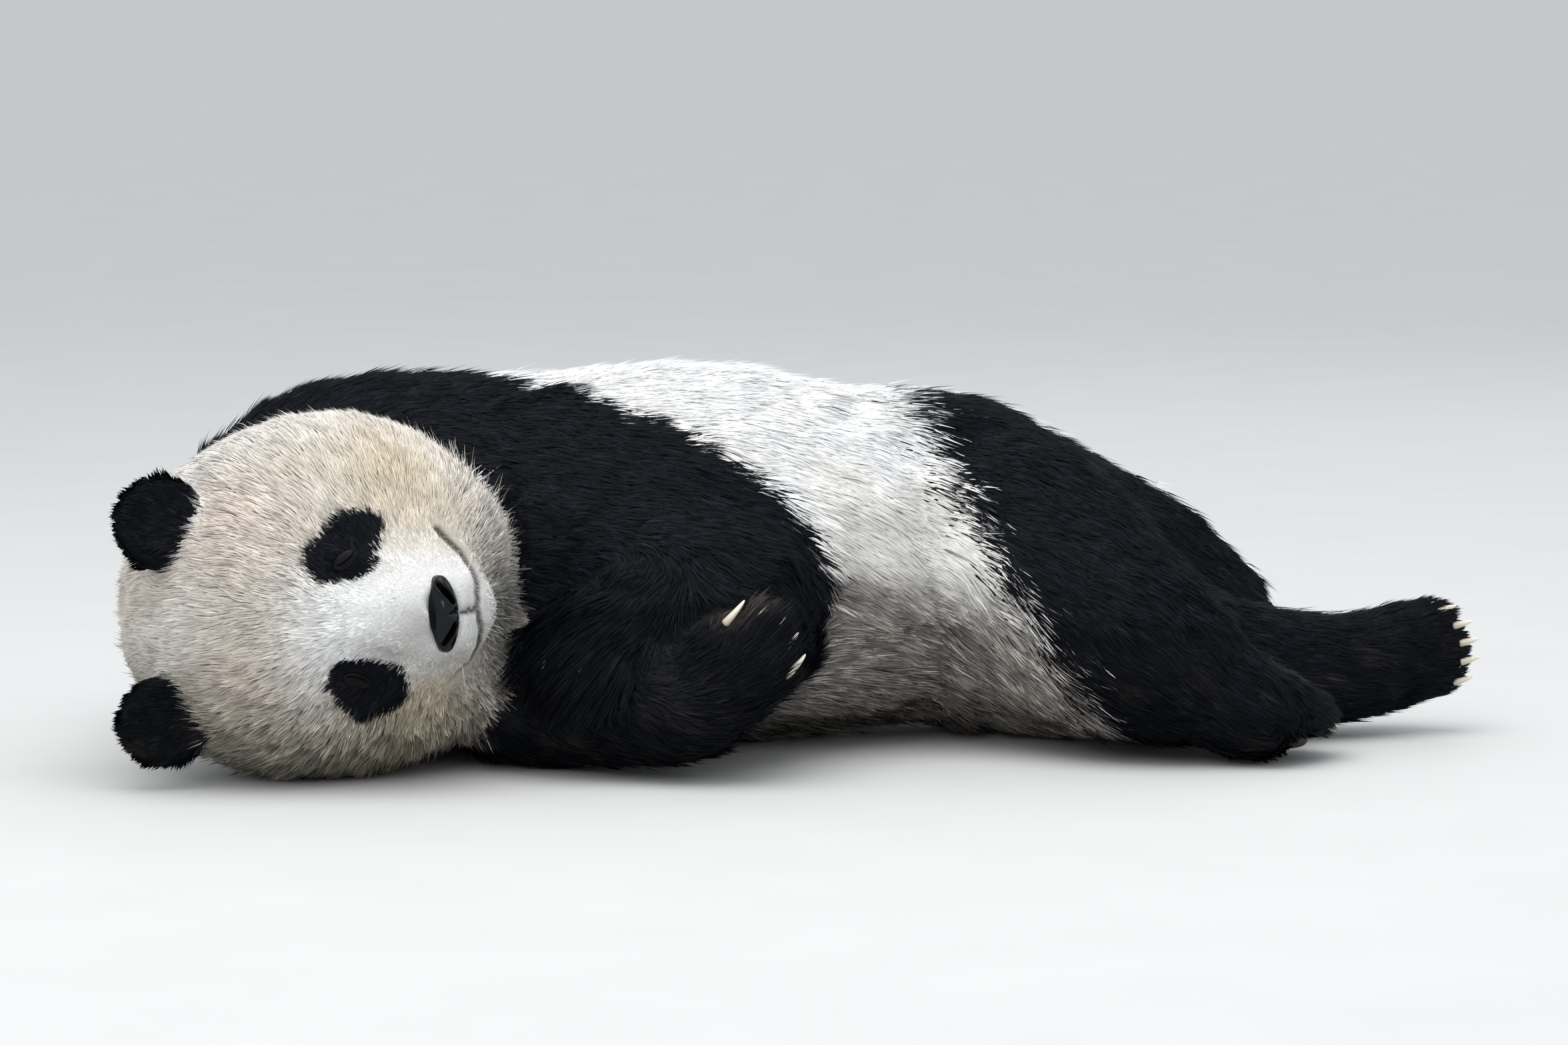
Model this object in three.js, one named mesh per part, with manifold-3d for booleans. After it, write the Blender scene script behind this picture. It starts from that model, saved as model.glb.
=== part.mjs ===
// A giant panda asleep on its right side, life size, in millimetres.
// +X runs from the head to the rump, -Y is the belly side, +Z is up, and the floor is z = 0.
// The body is one smooth field of distances, built of ellipsoids and of tapered limbs with round ends.
// Each named piece is the part of that field near its own bones, and thin cuts part it from the next.
import * as THREE from "three";
import { ConvexGeometry } from "three/addons/geometries/ConvexGeometry.js";
import { mergeVertices } from "three/addons/utils/BufferGeometryUtils.js";
import Module from "manifold-3d";

const wasm = await Module();
wasm.setup();

// ---------- driving dimensions ----------

const PARTING = 0.5; // width of a cut between two pieces
const SEAM = 14; // how far a limb's piece reaches into the flesh round it
const TRUNK_GRAIN = 95; // cell of the grid that the mesh of the trunk is drawn on

// trunk: [centre, half sizes along X, Y and Z]
const CHEST = [[-394, 52, 186], [253, 212, 188]];
const BARREL = [[-105, 40, 189], [335, 240, 198]];
const LOIN = [[168, 68, 186], 163];
const BUTTOCK = [[413, 108, 88], 103];
const RUMP = [[300, 140, 120], [160, 150, 134]];
const TAIL_ROOT = [[452, 192, 104], 42];
const TAIL_TIP = [[512, 236, 42], 34];

// neck: a short thick trunk of flesh from the shoulders to the back of the skull
const NAPE = [[-430, 0, 182], 168];
const POLL = [[-462, -150, 168], 146];

// head: its own axes are chinward, leftward and forward
const HEAD_AT = [-474, -265, 157];
const HEAD_PITCH = 25; // degrees, the nose towards the chest
const HEAD_TURN = 4.5; // degrees, the nose up from the floor
const HEAD_ROLL = 3.5; // degrees, the upper eye towards the crown
const CRANIUM = [[-32, 14, -20], [140, 160, 150]];
const BROW = [[-44, 4, 52], [104, 122, 96]];
const LEFT_CHEEK = [[40, 74, 0], [134, 124, 128]];
const RIGHT_CHEEK = [[40, -46, 0], [134, 118, 128]];
const THROAT = [[108, 14, 18], [96, 134, 100]];
const MUZZLE_ROOT = [[26, 0, 98], 76];
const MUZZLE_END = [[66, 0, 158], 47];
const CHIN = [[104, 0, 128], [42, 56, 48]];
const SOCKET = [[-1, 65, 168], 34];
const LEFT_EAR_AT = [-153, 108, 52];
const RIGHT_EAR_AT = [-164, -82, 42]; // pushed up a little by the floor
const EAR_FACES = [-0.25, 0.2, 0.95];
const EAR_RADIUS = 54;
const EAR_THICK = 19;
const NOSE_AT = [73, 0, 196];
const NOSE_HALF = [16, 38, 17];
const EYE_AT = [-3, 60, 136];
const EYE_RADIUS = 17;

// limbs: joints as [place, radius out to the coat's tips]
const LEFT_ARM = {
  shoulder: [[-255, -32, 222], 138],
  elbow: [[-62, -196, 146], 108],
  wrist: [[-150, -250, 160], 50],
};
const RIGHT_ARM = {
  shoulder: [[-300, -20, 92], 98],
  elbow: [[-262, -188, 74], 76],
  wrist: [[-94, -306, 72], 60],
};
const LEFT_LEG = {
  hip: [[222, 4, 182], 141],
  knee: [[348, -148, 112], 96],
  ankle: [[462, -190, 58], 52],
};
const RIGHT_LEG = {
  hip: [[262, 20, 104], 108],
  knee: [[414, -34, 78], 82],
  ankle: [[588, 34, 66], 56],
};

// paws: where the wrist or ankle is, which way the toes point, which way the back of the paw faces,
// on which side the first toe is, and how far the claws are drawn back
const LEFT_HAND = {
  at: [-146, -262, 166],
  toes: [-0.8, -0.25, -0.55],
  back: [-0.35, -0.6, 0.72],
  thumb: -1,
  sunk: 6,
};
const RIGHT_HAND = {
  at: [-80, -320, 80],
  toes: [0.69, -0.06, 0.72],
  back: [0.1, -0.99, 0],
  thumb: 1,
  sunk: 0,
};
const LEFT_FOOT = {
  at: [455, -180, 46],
  toes: [0.82, 0.57, 0],
  back: [0, 0, 1],
  thumb: -1,
  sunk: 8,
};
const RIGHT_FOOT = {
  at: [606, 40, 76],
  toes: [0.97, 0, 0.2],
  back: [-0.05, -0.99, 0],
  thumb: 1,
  sunk: 0,
};
const HAND = { palm: [46, 52, 42], reach: 34, toe: 17, spread: 20, length: 98, claw: 34 };
const FOOT = { palm: [62, 52, 40], reach: 28, toe: 16, spread: 19, length: 98, claw: 26 };
const TOE_ARC = [-16, -3, 0, -3, -14]; // how far each toe falls short of the middle one

// ---------- fields: each is a function of x, y and z that is negative inside ----------

const ellipsoid = ([[cx, cy, cz], [rx, ry, rz]]) => (x, y, z) => {
  const [ax, ay, az] = [(x - cx) / rx, (y - cy) / ry, (z - cz) / rz];
  const k0 = Math.hypot(ax, ay, az);
  const k1 = Math.hypot(ax / rx, ay / ry, az / rz);
  return k1 > 0 ? (k0 * (k0 - 1)) / k1 : -Math.min(rx, ry, rz);
};

const ball = ([[cx, cy, cz], radius]) => (x, y, z) => Math.hypot(x - cx, y - cy, z - cz) - radius;

// Two balls and the cone that touches both.
const limb = ([a, ra], [b, rb]) => {
  const axis = [b[0] - a[0], b[1] - a[1], b[2] - a[2]];
  const length = Math.hypot(...axis);
  const taper = (ra - rb) / length;
  const side = Math.sqrt(Math.max(1 - taper * taper, 1e-6));
  return (x, y, z) => {
    const [px, py, pz] = [x - a[0], y - a[1], z - a[2]];
    const along = (px * axis[0] + py * axis[1] + pz * axis[2]) / length;
    const out = Math.sqrt(Math.max(px * px + py * py + pz * pz - along * along, 0));
    const t = along * side - out * taper;
    if (t < 0) return Math.hypot(along, out) - ra;
    if (t > length * side) return Math.hypot(along - length, out) - rb;
    return out * side + along * taper - ra;
  };
};

const blend = (fields, width) => (x, y, z) =>
  fields.map((f) => f(x, y, z)).reduce((a, b) => {
    const h = Math.max(width - Math.abs(a - b), 0) / width;
    return Math.min(a, b) - (h * h * width) / 4;
  });

// The first field with the second scooped out of it, with a round edge.
const scoop = (field, tool, width) => (x, y, z) => {
  const [a, b] = [field(x, y, z), -tool(x, y, z)];
  const h = Math.max(width - Math.abs(a - b), 0) / width;
  return Math.max(a, b) + (h * h * width) / 4;
};

const within = (field, region, reach) => (x, y, z) => Math.max(field(x, y, z), region(x, y, z) - reach);
const swollen = (field, by) => (x, y, z) => field(x, y, z) - by;

// A field written in a piece's own axes, set in the body's.
const placed = (frame, field) => {
  const e = frame.clone().invert().elements;
  return (x, y, z) =>
    field(
      e[0] * x + e[4] * y + e[8] * z + e[12],
      e[1] * x + e[5] * y + e[9] * z + e[13],
      e[2] * x + e[6] * y + e[10] * z + e[14],
    );
};

const mirrored = ([x, y, z], side) => [x, side * y, z];
const inBody = (frame, point) => new THREE.Vector3(...point).applyMatrix4(frame).toArray();

// ---------- solids ----------

// A closed mesh of the surface where the field is nought: one vertex in each grid cell that it crosses,
// moved onto the surface, and two triangles over each grid edge that it crosses.
function surfaceOf(field, low, high, cell) {
  const count = low.map((l, i) => Math.ceil((high[i] - l) / cell) + 3);
  const at = (i, n) => low[n] + (i - 1) * cell;
  const index = (i, j, k) => (k * count[1] + j) * count[0] + i;
  const value = new Float64Array(count[0] * count[1] * count[2]);
  for (let k = 0; k < count[2]; k++)
    for (let j = 0; j < count[1]; j++)
      for (let i = 0; i < count[0]; i++) value[index(i, j, k)] = field(at(i, 0), at(j, 1), at(k, 2));
  const corners = [0, 1, 2, 3, 4, 5, 6, 7].map((n) => [n & 1, (n >> 1) & 1, n >> 2]);
  const edges = corners.flatMap((c, n) => [1, 2, 4].filter((b) => !(n & b)).map((b) => [n, n | b]));
  const vertexOf = new Map();
  const points = [];
  for (let k = 0; k < count[2] - 1; k++)
    for (let j = 0; j < count[1] - 1; j++)
      for (let i = 0; i < count[0] - 1; i++) {
        const v = corners.map(([a, b, c]) => value[index(i + a, j + b, k + c)]);
        const crossed = edges.filter(([a, b]) => v[a] < 0 !== v[b] < 0);
        if (!crossed.length) continue;
        const p = [0, 0, 0];
        for (const [a, b] of crossed) {
          const t = v[a] / (v[a] - v[b]);
          for (const n of [0, 1, 2]) p[n] += corners[a][n] + t * (corners[b][n] - corners[a][n]);
        }
        vertexOf.set(index(i, j, k), points.length / 3);
        const start = p.map((s, n) => at([i, j, k][n], n) + (s / crossed.length) * cell);
        points.push(...ontoSurface(field, start, cell / 3));
      }
  const faces = [];
  const step = [1, count[0], count[0] * count[1]];
  for (let k = 1; k < count[2] - 1; k++)
    for (let j = 1; j < count[1] - 1; j++)
      for (let i = 1; i < count[0] - 1; i++)
        for (const n of [0, 1, 2]) {
          const here = index(i, j, k);
          const [inHere, inNext] = [value[here] < 0, value[here + step[n]] < 0];
          if (inHere === inNext) continue;
          const [u, w] = [step[(n + 1) % 3], step[(n + 2) % 3]];
          const quad = [here, here - u, here - u - w, here - w].map((q) => vertexOf.get(q));
          if (!inHere) quad.reverse();
          faces.push(quad[0], quad[1], quad[2], quad[0], quad[2], quad[3]);
        }
  return new THREE.BufferGeometry()
    .setAttribute("position", new THREE.Float32BufferAttribute(points, 3))
    .setIndex(faces);
}

// A point moved along the field's slope until it lies on the surface, by no more than the limit.
function ontoSurface(field, start, limit) {
  const p = [...start];
  for (let n = 0; n < 4; n++) {
    const d = field(...p);
    const slope = [0, 1, 2].map((a) => {
      const q = [...p];
      q[a] += 0.5;
      return (field(...q) - d) / 0.5;
    });
    const square = Math.max(slope.reduce((s, c) => s + c * c, 0), 0.05);
    for (const a of [0, 1, 2]) {
      const moved = p[a] - (d * slope[a]) / square;
      p[a] = Math.min(Math.max(moved, start[a] - limit), start[a] + limit);
    }
  }
  return p;
}

function solidOf(geometry) {
  const bare = new THREE.BufferGeometry().setAttribute("position", geometry.getAttribute("position"));
  if (geometry.index) bare.setIndex(geometry.index);
  const merged = mergeVertices(bare, 1e-3);
  return new wasm.Manifold(
    new wasm.Mesh({
      numProp: 3,
      vertProperties: new Float32Array(merged.attributes.position.array),
      triVerts: new Uint32Array(merged.index.array),
    }),
  );
}

function geometryOf(solid) {
  const mesh = solid.getMesh();
  const geometry = new THREE.BufferGeometry();
  geometry.setAttribute("position", new THREE.BufferAttribute(mesh.vertProperties, 3));
  geometry.setIndex(new THREE.BufferAttribute(mesh.triVerts, 1));
  geometry.computeVertexNormals();
  return geometry;
}

// A closed mesh of a star-shaped piece: rays from its middle, closest together on the side that it faces,
// each run out to the surface, or to the limit where there is flesh all the way.
function starOf(field, centre, faces, crowding, detail, limit) {
  const sphere = new THREE.IcosahedronGeometry(1, detail);
  sphere.deleteAttribute("normal");
  sphere.deleteAttribute("uv");
  const geometry = mergeVertices(sphere, 1e-4);
  const place = geometry.attributes.position;
  const ray = new THREE.Vector3();
  for (let v = 0; v < place.count; v++) {
    ray.fromBufferAttribute(place, v).addScaledVector(faces, crowding).normalize();
    let [low, high] = [0, limit];
    const inside = (r) => field(centre[0] + ray.x * r, centre[1] + ray.y * r, centre[2] + ray.z * r) < 0;
    for (let r = 0; r < limit; r += 6)
      if (!inside(r)) {
        [low, high] = [r - 6, r];
        break;
      } else low = limit;
    for (let n = 0; n < 12 && low < limit; n++) {
      const middle = (low + high) / 2;
      if (inside(middle)) low = middle;
      else high = middle;
    }
    place.setXYZ(v, centre[0] + ray.x * low, centre[1] + ray.y * low, centre[2] + ray.z * low);
  }
  return geometry;
}

function hullOf(points) {
  const hull = new ConvexGeometry(points);
  hull.deleteAttribute("normal");
  return mergeVertices(hull, 1e-3);
}

const pointsOf = (geometry) => {
  const place = geometry.attributes.position;
  return Array.from({ length: place.count }, (_, v) => new THREE.Vector3().fromBufferAttribute(place, v));
};

const largest = (solid) => solid.decompose().reduce((a, b) => (b.volume() > a.volume() ? b : a));

// ---------- head ----------

function headFrame() {
  const turn = new THREE.Matrix4().makeRotationZ(THREE.MathUtils.degToRad(HEAD_PITCH));
  const chinward = new THREE.Vector3(1, 0, 0);
  const leftward = new THREE.Vector3(0, 0, 1);
  const forward = new THREE.Vector3(0, -1, 0);
  const frame = new THREE.Matrix4().makeBasis(chinward, leftward, forward);
  frame.premultiply(turn);
  frame.multiply(new THREE.Matrix4().makeRotationX(THREE.MathUtils.degToRad(-HEAD_TURN)));
  frame.multiply(new THREE.Matrix4().makeRotationZ(THREE.MathUtils.degToRad(HEAD_ROLL)));
  return frame.setPosition(...HEAD_AT);
}
const HEAD = headFrame();

const skullAndMuzzle = scoop(
  scoop(
    blend(
      [
        blend([CRANIUM, BROW, LEFT_CHEEK, RIGHT_CHEEK, THROAT].map(ellipsoid), 45),
        blend([limb(MUZZLE_ROOT, MUZZLE_END), ellipsoid(CHIN)], 26),
      ],
      34,
    ),
    ball(SOCKET),
    30,
  ),
  ball([mirrored(SOCKET[0], -1), SOCKET[1]]),
  30,
);
const head = placed(HEAD, skullAndMuzzle);

// The ear's own axes: z is the way it faces, and its cup is scooped out of that side.
const earAt = (side) => (side > 0 ? LEFT_EAR_AT : RIGHT_EAR_AT);
function ear(side) {
  const faces = new THREE.Vector3(...mirrored(EAR_FACES, side)).normalize();
  const turn = new THREE.Quaternion().setFromUnitVectors(new THREE.Vector3(0, 0, 1), faces);
  const frame = new THREE.Matrix4().makeRotationFromQuaternion(turn);
  frame.setPosition(...earAt(side));
  const disc = ellipsoid([[0, 0, 0], [EAR_RADIUS, EAR_RADIUS, EAR_THICK]]);
  const cup = ellipsoid([[10, 0, EAR_THICK + 4], [EAR_RADIUS * 0.66, EAR_RADIUS * 0.62, 17]]);
  return placed(HEAD.clone().multiply(frame), scoop(disc, cup, 8));
}

const nose = placed(HEAD, ellipsoid([NOSE_AT, NOSE_HALF]));
const eye = (side) => ball([inBody(HEAD, mirrored(EYE_AT, side)), EYE_RADIUS]);

// ---------- limbs and paws ----------

// The paw's own axes: x along the toes, y towards the first toe, z out of the back of the paw.
function pawFrame({ at, toes, back, thumb }) {
  const x = new THREE.Vector3(...toes).normalize();
  const y = new THREE.Vector3(...back).cross(x).normalize().multiplyScalar(thumb);
  const z = new THREE.Vector3().crossVectors(x, y);
  return new THREE.Matrix4().makeBasis(x, y, z).setPosition(...at);
}

// The toes' tips in the paw's own axes, from the first toe to the fifth.
const toeTips = ({ spread, length, toe, palm }, back) =>
  TOE_ARC.map((arc, n) => [length + arc - toe, (2 - n) * spread, back * (palm[2] - toe - 14)]);

function paw(place, shape) {
  const back = place.thumb;
  const palm = ellipsoid([[shape.reach, 0, 0], shape.palm]);
  const tips = toeTips(shape, back);
  const knuckle = (tip) => [shape.reach, tip[1] * 0.75, tip[2] * 0.4];
  const toes = tips.map((tip) => limb([knuckle(tip), shape.toe + 4], [tip, shape.toe]));
  return placed(pawFrame(place), blend([palm, blend(toes, 7)], 16));
}

// A curved tapering claw: rings along an arc, then a point.
function clawGeometry(length, radius) {
  const [rings, sides, bend] = [2, 5, 0.9];
  const points = [];
  for (let r = 0; r < rings; r++) {
    const turn = (bend * r) / rings;
    const spine = [Math.sin(turn) * (length / bend), (Math.cos(turn) - 1) * (length / bend)];
    const thick = radius * (1 - 0.35 * r);
    for (let s = 0; s < sides; s++) {
      const angle = (2 * Math.PI * s) / sides;
      const rise = Math.cos(angle) * thick * 1.15;
      const aside = Math.sin(angle) * thick * 0.8;
      points.push(spine[0] + rise * Math.sin(turn), aside, spine[1] + rise * Math.cos(turn));
    }
  }
  points.push(Math.sin(bend) * (length / bend), 0, (Math.cos(bend) - 1) * (length / bend));
  points.push(0, 0, 0);
  const faces = [];
  const [point, root] = [rings * sides, rings * sides + 1];
  for (let s = 0; s < sides; s++) {
    const next = (s + 1) % sides;
    faces.push(root, s, next);
    for (let r = 0; r < rings - 1; r++) {
      const [a, b] = [r * sides + s, r * sides + next];
      faces.push(a, a + sides, b, b, a + sides, b + sides);
    }
    faces.push((rings - 1) * sides + s, point, (rings - 1) * sides + next);
  }
  return new THREE.BufferGeometry()
    .setAttribute("position", new THREE.Float32BufferAttribute(points, 3))
    .setIndex(faces);
}

function claws(name, place, shape) {
  const frame = pawFrame(place);
  return toeTips(shape, place.thumb).map((tip, n) => {
    const up = place.thumb;
    const geometry = clawGeometry(shape.claw, 5.5);
    const lean = new THREE.Matrix4().makeBasis(
      new THREE.Vector3(1, 0, 0),
      new THREE.Vector3(0, up, 0),
      new THREE.Vector3(0, 0, up),
    );
    lean.setPosition(tip[0] + shape.toe * 0.45 - place.sunk, tip[1], tip[2] + up * shape.toe * 0.35);
    const set = frame.clone().multiply(lean);
    geometry.applyMatrix4(set);
    const sheath = clawGeometry(shape.claw + 3, 7).translate(-1, 0, 0).applyMatrix4(set);
    return { name: name + "_claw_" + (n + 1), geometry, sheath };
  });
}

const leftUpperArm = limb(LEFT_ARM.shoulder, LEFT_ARM.elbow);
const leftForearm = limb([LEFT_ARM.elbow[0], 74], LEFT_ARM.wrist);
const rightUpperArm = limb(RIGHT_ARM.shoulder, RIGHT_ARM.elbow);
const rightForearm = limb(RIGHT_ARM.elbow, RIGHT_ARM.wrist);
const leftThigh = limb(LEFT_LEG.hip, LEFT_LEG.knee);
const leftShank = limb([LEFT_LEG.knee[0], 76], LEFT_LEG.ankle);
const rightThigh = limb(RIGHT_LEG.hip, RIGHT_LEG.knee);
const rightShank = limb([RIGHT_LEG.knee[0], 72], RIGHT_LEG.ankle);
const leftHand = paw(LEFT_HAND, HAND);
const rightHand = paw(RIGHT_HAND, HAND);
const leftFoot = paw(LEFT_FOOT, FOOT);
const rightFoot = paw(RIGHT_FOOT, FOOT);

// ---------- the whole body as one field ----------

const neck = limb(NAPE, POLL);
const trunk = blend([ellipsoid(CHEST), ellipsoid(BARREL), limb(LOIN, BUTTOCK), ellipsoid(RUMP)], 70);
const tail = limb(TAIL_ROOT, TAIL_TIP);
const limbs = [
  blend([leftUpperArm, leftForearm, leftHand], 26),
  blend([rightUpperArm, rightForearm, rightHand], 26),
  blend([leftThigh, leftShank, leftFoot], 30),
  blend([rightThigh, rightShank, rightFoot], 26),
];
const core = blend([blend([trunk, neck, head], 44), tail], 30);
const body = limbs.reduce((all, one) => blend([all, one], 24), core);

// ---------- the pieces, in the order in which they are cut out of the body ----------

const BLACK = 0x17181c;
const WHITE = 0xe8e2d6;
const HORN = 0xd9cfb4;

const middleOf = ([a], [b]) => a.map((c, n) => (c + b[n]) / 2);
const palmOf = (place, shape) => inBody(pawFrame(place), [shape.reach + 8, 0, 0]);

const pieces = [
  { name: "hand_right", field: rightHand, middle: palmOf(RIGHT_HAND, HAND), detail: 3, way: RIGHT_HAND.toes },
  { name: "hand_left", field: leftHand, middle: palmOf(LEFT_HAND, HAND), detail: 2, way: LEFT_HAND.toes },
  { name: "foot_right", field: rightFoot, middle: palmOf(RIGHT_FOOT, FOOT), detail: 3, way: RIGHT_FOOT.toes },
  { name: "foot_left", field: leftFoot, middle: palmOf(LEFT_FOOT, FOOT), detail: 2, way: LEFT_FOOT.toes },
  { name: "forearm_right", field: rightForearm, middle: middleOf(RIGHT_ARM.elbow, RIGHT_ARM.wrist) },
  { name: "forearm_left", field: leftForearm, middle: middleOf(LEFT_ARM.elbow, LEFT_ARM.wrist) },
  { name: "shank_left", field: leftShank, middle: middleOf(LEFT_LEG.knee, LEFT_LEG.ankle) },
  { name: "shank_right", field: rightShank, middle: middleOf(RIGHT_LEG.knee, RIGHT_LEG.ankle) },
  { name: "upper_arm_left", field: leftUpperArm, middle: middleOf(LEFT_ARM.shoulder, LEFT_ARM.elbow) },
  { name: "upper_arm_right", field: rightUpperArm, middle: middleOf(RIGHT_ARM.shoulder, RIGHT_ARM.elbow) },
  { name: "thigh_left", field: leftThigh, middle: middleOf(LEFT_LEG.hip, LEFT_LEG.knee) },
  { name: "thigh_right", field: rightThigh, middle: middleOf(RIGHT_LEG.hip, RIGHT_LEG.knee) },
  { name: "tail", field: tail, middle: middleOf(TAIL_ROOT, TAIL_TIP), detail: 2, colour: WHITE },
  { name: "neck", field: neck, middle: middleOf(NAPE, POLL), colour: WHITE },
];

const BODY_BOX = [
  [-760, -520, -40],
  [780, 380, 460],
];
const DEEP = 400; // deeper than anything reaches below the floor

function bareBox(width, depth, height) {
  const box = new THREE.BoxGeometry(width, depth, height);
  box.deleteAttribute("normal");
  box.deleteAttribute("uv");
  return box;
}
const floor = solidOf(bareBox(4000, 4000, DEEP).translate(0, 0, -DEEP / 2));

const cutters = [];
const model = new THREE.Group();

// Cuts what belongs to the earlier pieces out of a solid, and hangs the rest in the model. The cutter is
// the space that later pieces keep out of.
function addPiece(name, solid, cutter, colour, roughness) {
  let left = solid.subtract(floor);
  for (const earlier of cutters) left = left.subtract(earlier);
  if (cutter) cutters.push(solidOf(cutter));
  const material = new THREE.MeshStandardMaterial({ color: colour, roughness, metalness: 0 });
  const mesh = new THREE.Mesh(geometryOf(largest(left)), material);
  mesh.name = name;
  model.add(mesh);
}

// A small round piece keeps later ones out of the same shape, a little larger.
function addSmall(name, geometry, centre, colour, roughness) {
  const middle = new THREE.Vector3(...centre);
  const cutter = pointsOf(geometry).map((p) => p.sub(middle).multiplyScalar(1.06).add(middle));
  addPiece(name, solidOf(geometry), hullOf(cutter), colour, roughness);
}

for (const claw of [
  ...claws("hand_left", LEFT_HAND, HAND),
  ...claws("hand_right", RIGHT_HAND, HAND),
  ...claws("foot_left", LEFT_FOOT, FOOT),
  ...claws("foot_right", RIGHT_FOOT, FOOT),
])
  addPiece(claw.name, solidOf(claw.geometry), claw.sheath, HORN, 0.4);

const headPoint = (point) => inBody(HEAD, point);
const headWay = (way) => new THREE.Vector3(...way).transformDirection(HEAD);
const noseAt = headPoint(NOSE_AT);
addSmall("nose", starOf(nose, noseAt, headWay([0, 0, 1]), 0, 1, 100), noseAt, 0x1a1a1e, 0.35);
for (const [name, side] of [["left", 1], ["right", -1]]) {
  const eyeAt = headPoint(mirrored(EYE_AT, side));
  addSmall("eye_" + name, starOf(eye(side), eyeAt, headWay([0, 0, 1]), 0, 1, 60), eyeAt, 0x111013, 0.3);
  const front = headWay(mirrored(EAR_FACES, side));
  const middle = new THREE.Vector3(...headPoint(earAt(side))).addScaledVector(front, -6);
  const earMiddle = middle.toArray();
  addSmall("ear_" + name, starOf(ear(side), earMiddle, front, 0, 2, 90), earMiddle, BLACK, 0.9);
}

// A piece of the body: its flesh lies near its own field, and it keeps later pieces the width of a cut
// away. Both surfaces are drawn on the same rays, so that the one holds the other.
function addFlesh(name, field, middle, faces, crowding, detail, colour) {
  const flesh = starOf(within(body, field, SEAM), middle, faces, crowding, detail, 420);
  const space = starOf(swollen(field, SEAM + 2 * PARTING), middle, faces, crowding, detail, 420);
  addPiece(name, solidOf(flesh), space, colour, 0.9);
}
const UPWARDS = new THREE.Vector3(0, 0, 1);
addFlesh("head", head, headPoint([10, 10, 20]), headWay([0, 0, 1]), 0.4, 5, WHITE);
for (const { name, field, middle, detail, way, colour } of pieces) {
  const faces = way ? new THREE.Vector3(...way).normalize() : UPWARDS;
  addFlesh(name, field, middle, faces, way ? 0.4 : 0, detail ?? 2, colour ?? BLACK);
}
const torso = within(body, trunk, 60);
addPiece("trunk", solidOf(surfaceOf(torso, ...BODY_BOX, TRUNK_GRAIN)), null, WHITE, 0.9);

// The origin is the middle of the flat on which the barrel of the trunk lies.
model.position.set(-BARREL[0][0], -BARREL[0][1], 0);

export default model;
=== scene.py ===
# A giant panda asleep on its right side, life size, in metres. +X runs from the head to the rump, -Y is
# the belly side, +Z is up, and the floor is z = 0.
import math

import bpy
import numpy as np
from mathutils import Matrix, Vector
from mathutils.bvhtree import BVHTree
from mathutils.kdtree import KDTree


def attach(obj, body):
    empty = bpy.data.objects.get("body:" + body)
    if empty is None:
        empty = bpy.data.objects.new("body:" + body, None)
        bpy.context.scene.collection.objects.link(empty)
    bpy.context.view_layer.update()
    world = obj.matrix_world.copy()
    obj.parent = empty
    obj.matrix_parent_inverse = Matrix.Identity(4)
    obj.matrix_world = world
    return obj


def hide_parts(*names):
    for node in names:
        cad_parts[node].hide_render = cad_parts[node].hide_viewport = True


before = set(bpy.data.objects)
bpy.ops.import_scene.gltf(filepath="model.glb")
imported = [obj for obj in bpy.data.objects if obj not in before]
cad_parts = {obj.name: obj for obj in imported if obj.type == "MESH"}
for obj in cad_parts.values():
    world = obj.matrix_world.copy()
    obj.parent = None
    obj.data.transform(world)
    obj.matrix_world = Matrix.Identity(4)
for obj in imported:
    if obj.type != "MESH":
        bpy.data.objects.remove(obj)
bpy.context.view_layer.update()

# ---------- camera ----------
# A long lens on the belly side, a little above the animal, looking slightly down at it.
CAMERA_DOWN = math.radians(6)
CAMERA_FAR = 6.5
SEEN_ACROSS = 1.58  # width of what the frame takes in at the aim
SENSOR_MM = 36
aim = Vector((0.105, -0.135, 0.232))
towards = Vector((0, math.cos(CAMERA_DOWN), -math.sin(CAMERA_DOWN)))
camera_data = bpy.data.cameras.new("camera")
camera_data.sensor_width = SENSOR_MM
camera_data.lens = SENSOR_MM * CAMERA_FAR / SEEN_ACROSS
camera_data.clip_end = 100
camera = bpy.data.objects.new("camera", camera_data)
camera.location = aim - towards * CAMERA_FAR
camera.rotation_euler = (math.pi / 2 - CAMERA_DOWN, 0, 0)
bpy.context.scene.collection.objects.link(camera)
bpy.context.scene.camera = camera


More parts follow.
